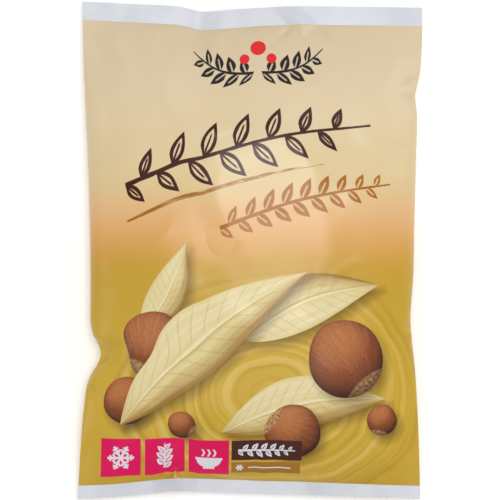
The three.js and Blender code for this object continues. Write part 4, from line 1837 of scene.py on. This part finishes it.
# %% Mushroom flesh
FLESH = linear(236, 224, 194)
FLESH_SHADE = linear(214, 194, 150)
CAP_BROWN = linear(150, 106, 66)
CAP_DARK = linear(104, 66, 40)
FIBRE_SCALES = (900, 60, 900)
SPECK_SCALE = 260
FIBRE_EDGE = (0.3, 0.7)
SPECK_EDGE = (0.35, 0.65)
FIBRE_RELIEF = {"Strength": 0.25, "Distance": 0.0006}
FLESH_ROUGHNESS = 0.62
SPECK_ROUGHNESS = 0.2
CAP_START = (0.915, 0.935)  # as shares of the mushroom's length
CAP_UNEVEN = 0.02


def mushroom_flesh():
    material, shader = new_material("mushroom_flesh")
    tree = shader.id_data
    position = object_place(tree)
    _, height, _ = split(flow(tree, "ShaderNodeUVMap", uv_map=UV_NAME))
    stretched = flow(tree, "ShaderNodeMapping", {0: position, "Scale": FIBRE_SCALES})
    fibres = noise(stretched, 1, 3)
    specks = noise(position, SPECK_SCALE, 3)
    flesh = over(FLESH_SHADE, fibres.ramp(*FIBRE_EDGE), FLESH)
    cap = over(CAP_DARK, specks.ramp(*SPECK_EDGE), CAP_BROWN)
    on_cap = (height + (specks - 0.5) * CAP_UNEVEN).ramp(*CAP_START)
    feed(shader.inputs["Base Color"], over(flesh, on_cap, cap))
    feed(shader.inputs["Roughness"], FLESH_ROUGHNESS + (specks - 0.5) * SPECK_ROUGHNESS)
    bump = flow(tree, "ShaderNodeBump", {**FIBRE_RELIEF, "Height": fibres})
    feed(shader.inputs["Normal"], bump)
    return material


print("flesh:", FLESH[:3])

# %% [markdown]
# The light is a plain soft studio. A large panel hangs nearly overhead, a little to the upper
# right: it lights the crown most and lays a pale veil on the film there. A wider, weaker one fills
# the lower end. One low at the right brings out the creases, a faint small one low at the left
# glints in the dent there, and a pale world fills the shadows. The floor is a white sheet.

# %% Floor, lights and world
FLOOR_HALF = 6
FLOOR_WHITE = 0.96
FLOOR_GLOW = 0.16  # a faint glow of its own, as a lit backdrop has, keeps it white to its edge
WHITE = (1, 1, 1, 1)
FLOOR_VALUES = {
    "Base Color": (FLOOR_WHITE, FLOOR_WHITE, FLOOR_WHITE, 1),
    "Roughness": 0.9,
    "Specular IOR Level": 0.1,
    "Emission Color": WHITE,
    "Emission Strength": FLOOR_GLOW,
}
LIGHTS = {  # place, size, power
    "key": ((0.22, 0.32, 2.6), 1.1, 30),
    "fill": ((-0.1, -1.0, 2.4), 1.6, 7),
    "side": ((1.7, 1.1, 1.1), 1.3, 8),
    "left": ((-1.5, -0.4, 0.8), 0.6, 2.2),
}
WORLD_STRENGTH = 0.4


def floor_sheet():
    corners = np.array([(-1, -1, 0), (1, -1, 0), (1, 1, 0), (-1, 1, 0)]) * FLOOR_HALF
    sheet = mesh_piece("floor", corners, [(0, 1, 2, 3)])
    material, shader = new_material("floor")
    for label, value in FLOOR_VALUES.items():
        feed(shader.inputs[label], value)
    sheet.data.materials.append(material)
    return sheet


def area_light(name, place, size, power):
    data = bpy.data.lights.new(name, "AREA")
    data.size = size
    data.energy = power
    light = placed(name, data)
    light.location = place
    light.rotation_euler = (-light.location).to_track_quat("-Z", "Y").to_euler()


floor_sheet()
for name, (place, size, power) in LIGHTS.items():
    area_light(name, place, size, power)
world = bpy.data.worlds.new("studio")
world.use_nodes = True
background = world.node_tree.nodes["Background"]
background.inputs["Color"].default_value = WHITE
background.inputs["Strength"].default_value = WORLD_STRENGTH
bpy.context.scene.world = world
bpy.context.scene.view_settings.view_transform = "Standard"
print("floor and lights are set:", list(LIGHTS))

# %% [markdown]
# Last, every piece gets its material and rides on the bag's one body, and the solid of the
# model that it stands for is hidden.

# %% Finish the pieces


def dress(piece, material, slot, *nodes):
    piece.data.materials.clear()
    piece.data.materials.append(material)
    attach(piece, BODY)
    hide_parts(*nodes)


dress(front_film, printed_front, "printed_front", "front_wall")
dress(back_film, printed_back, "printed_back", "back_wall")
dress(fin, printed_back, "printed_back", "back_fin_seal")
white = white_film()
dress(top_seal, white, "white_seal", "top_seal")
dress(bottom_seal, white, "white_seal", "bottom_seal")
flesh = mushroom_flesh()
for number, piece in enumerate(contents, start=1):
    dress(piece, flesh, "mushroom", f"mushroom_{number:02d}")
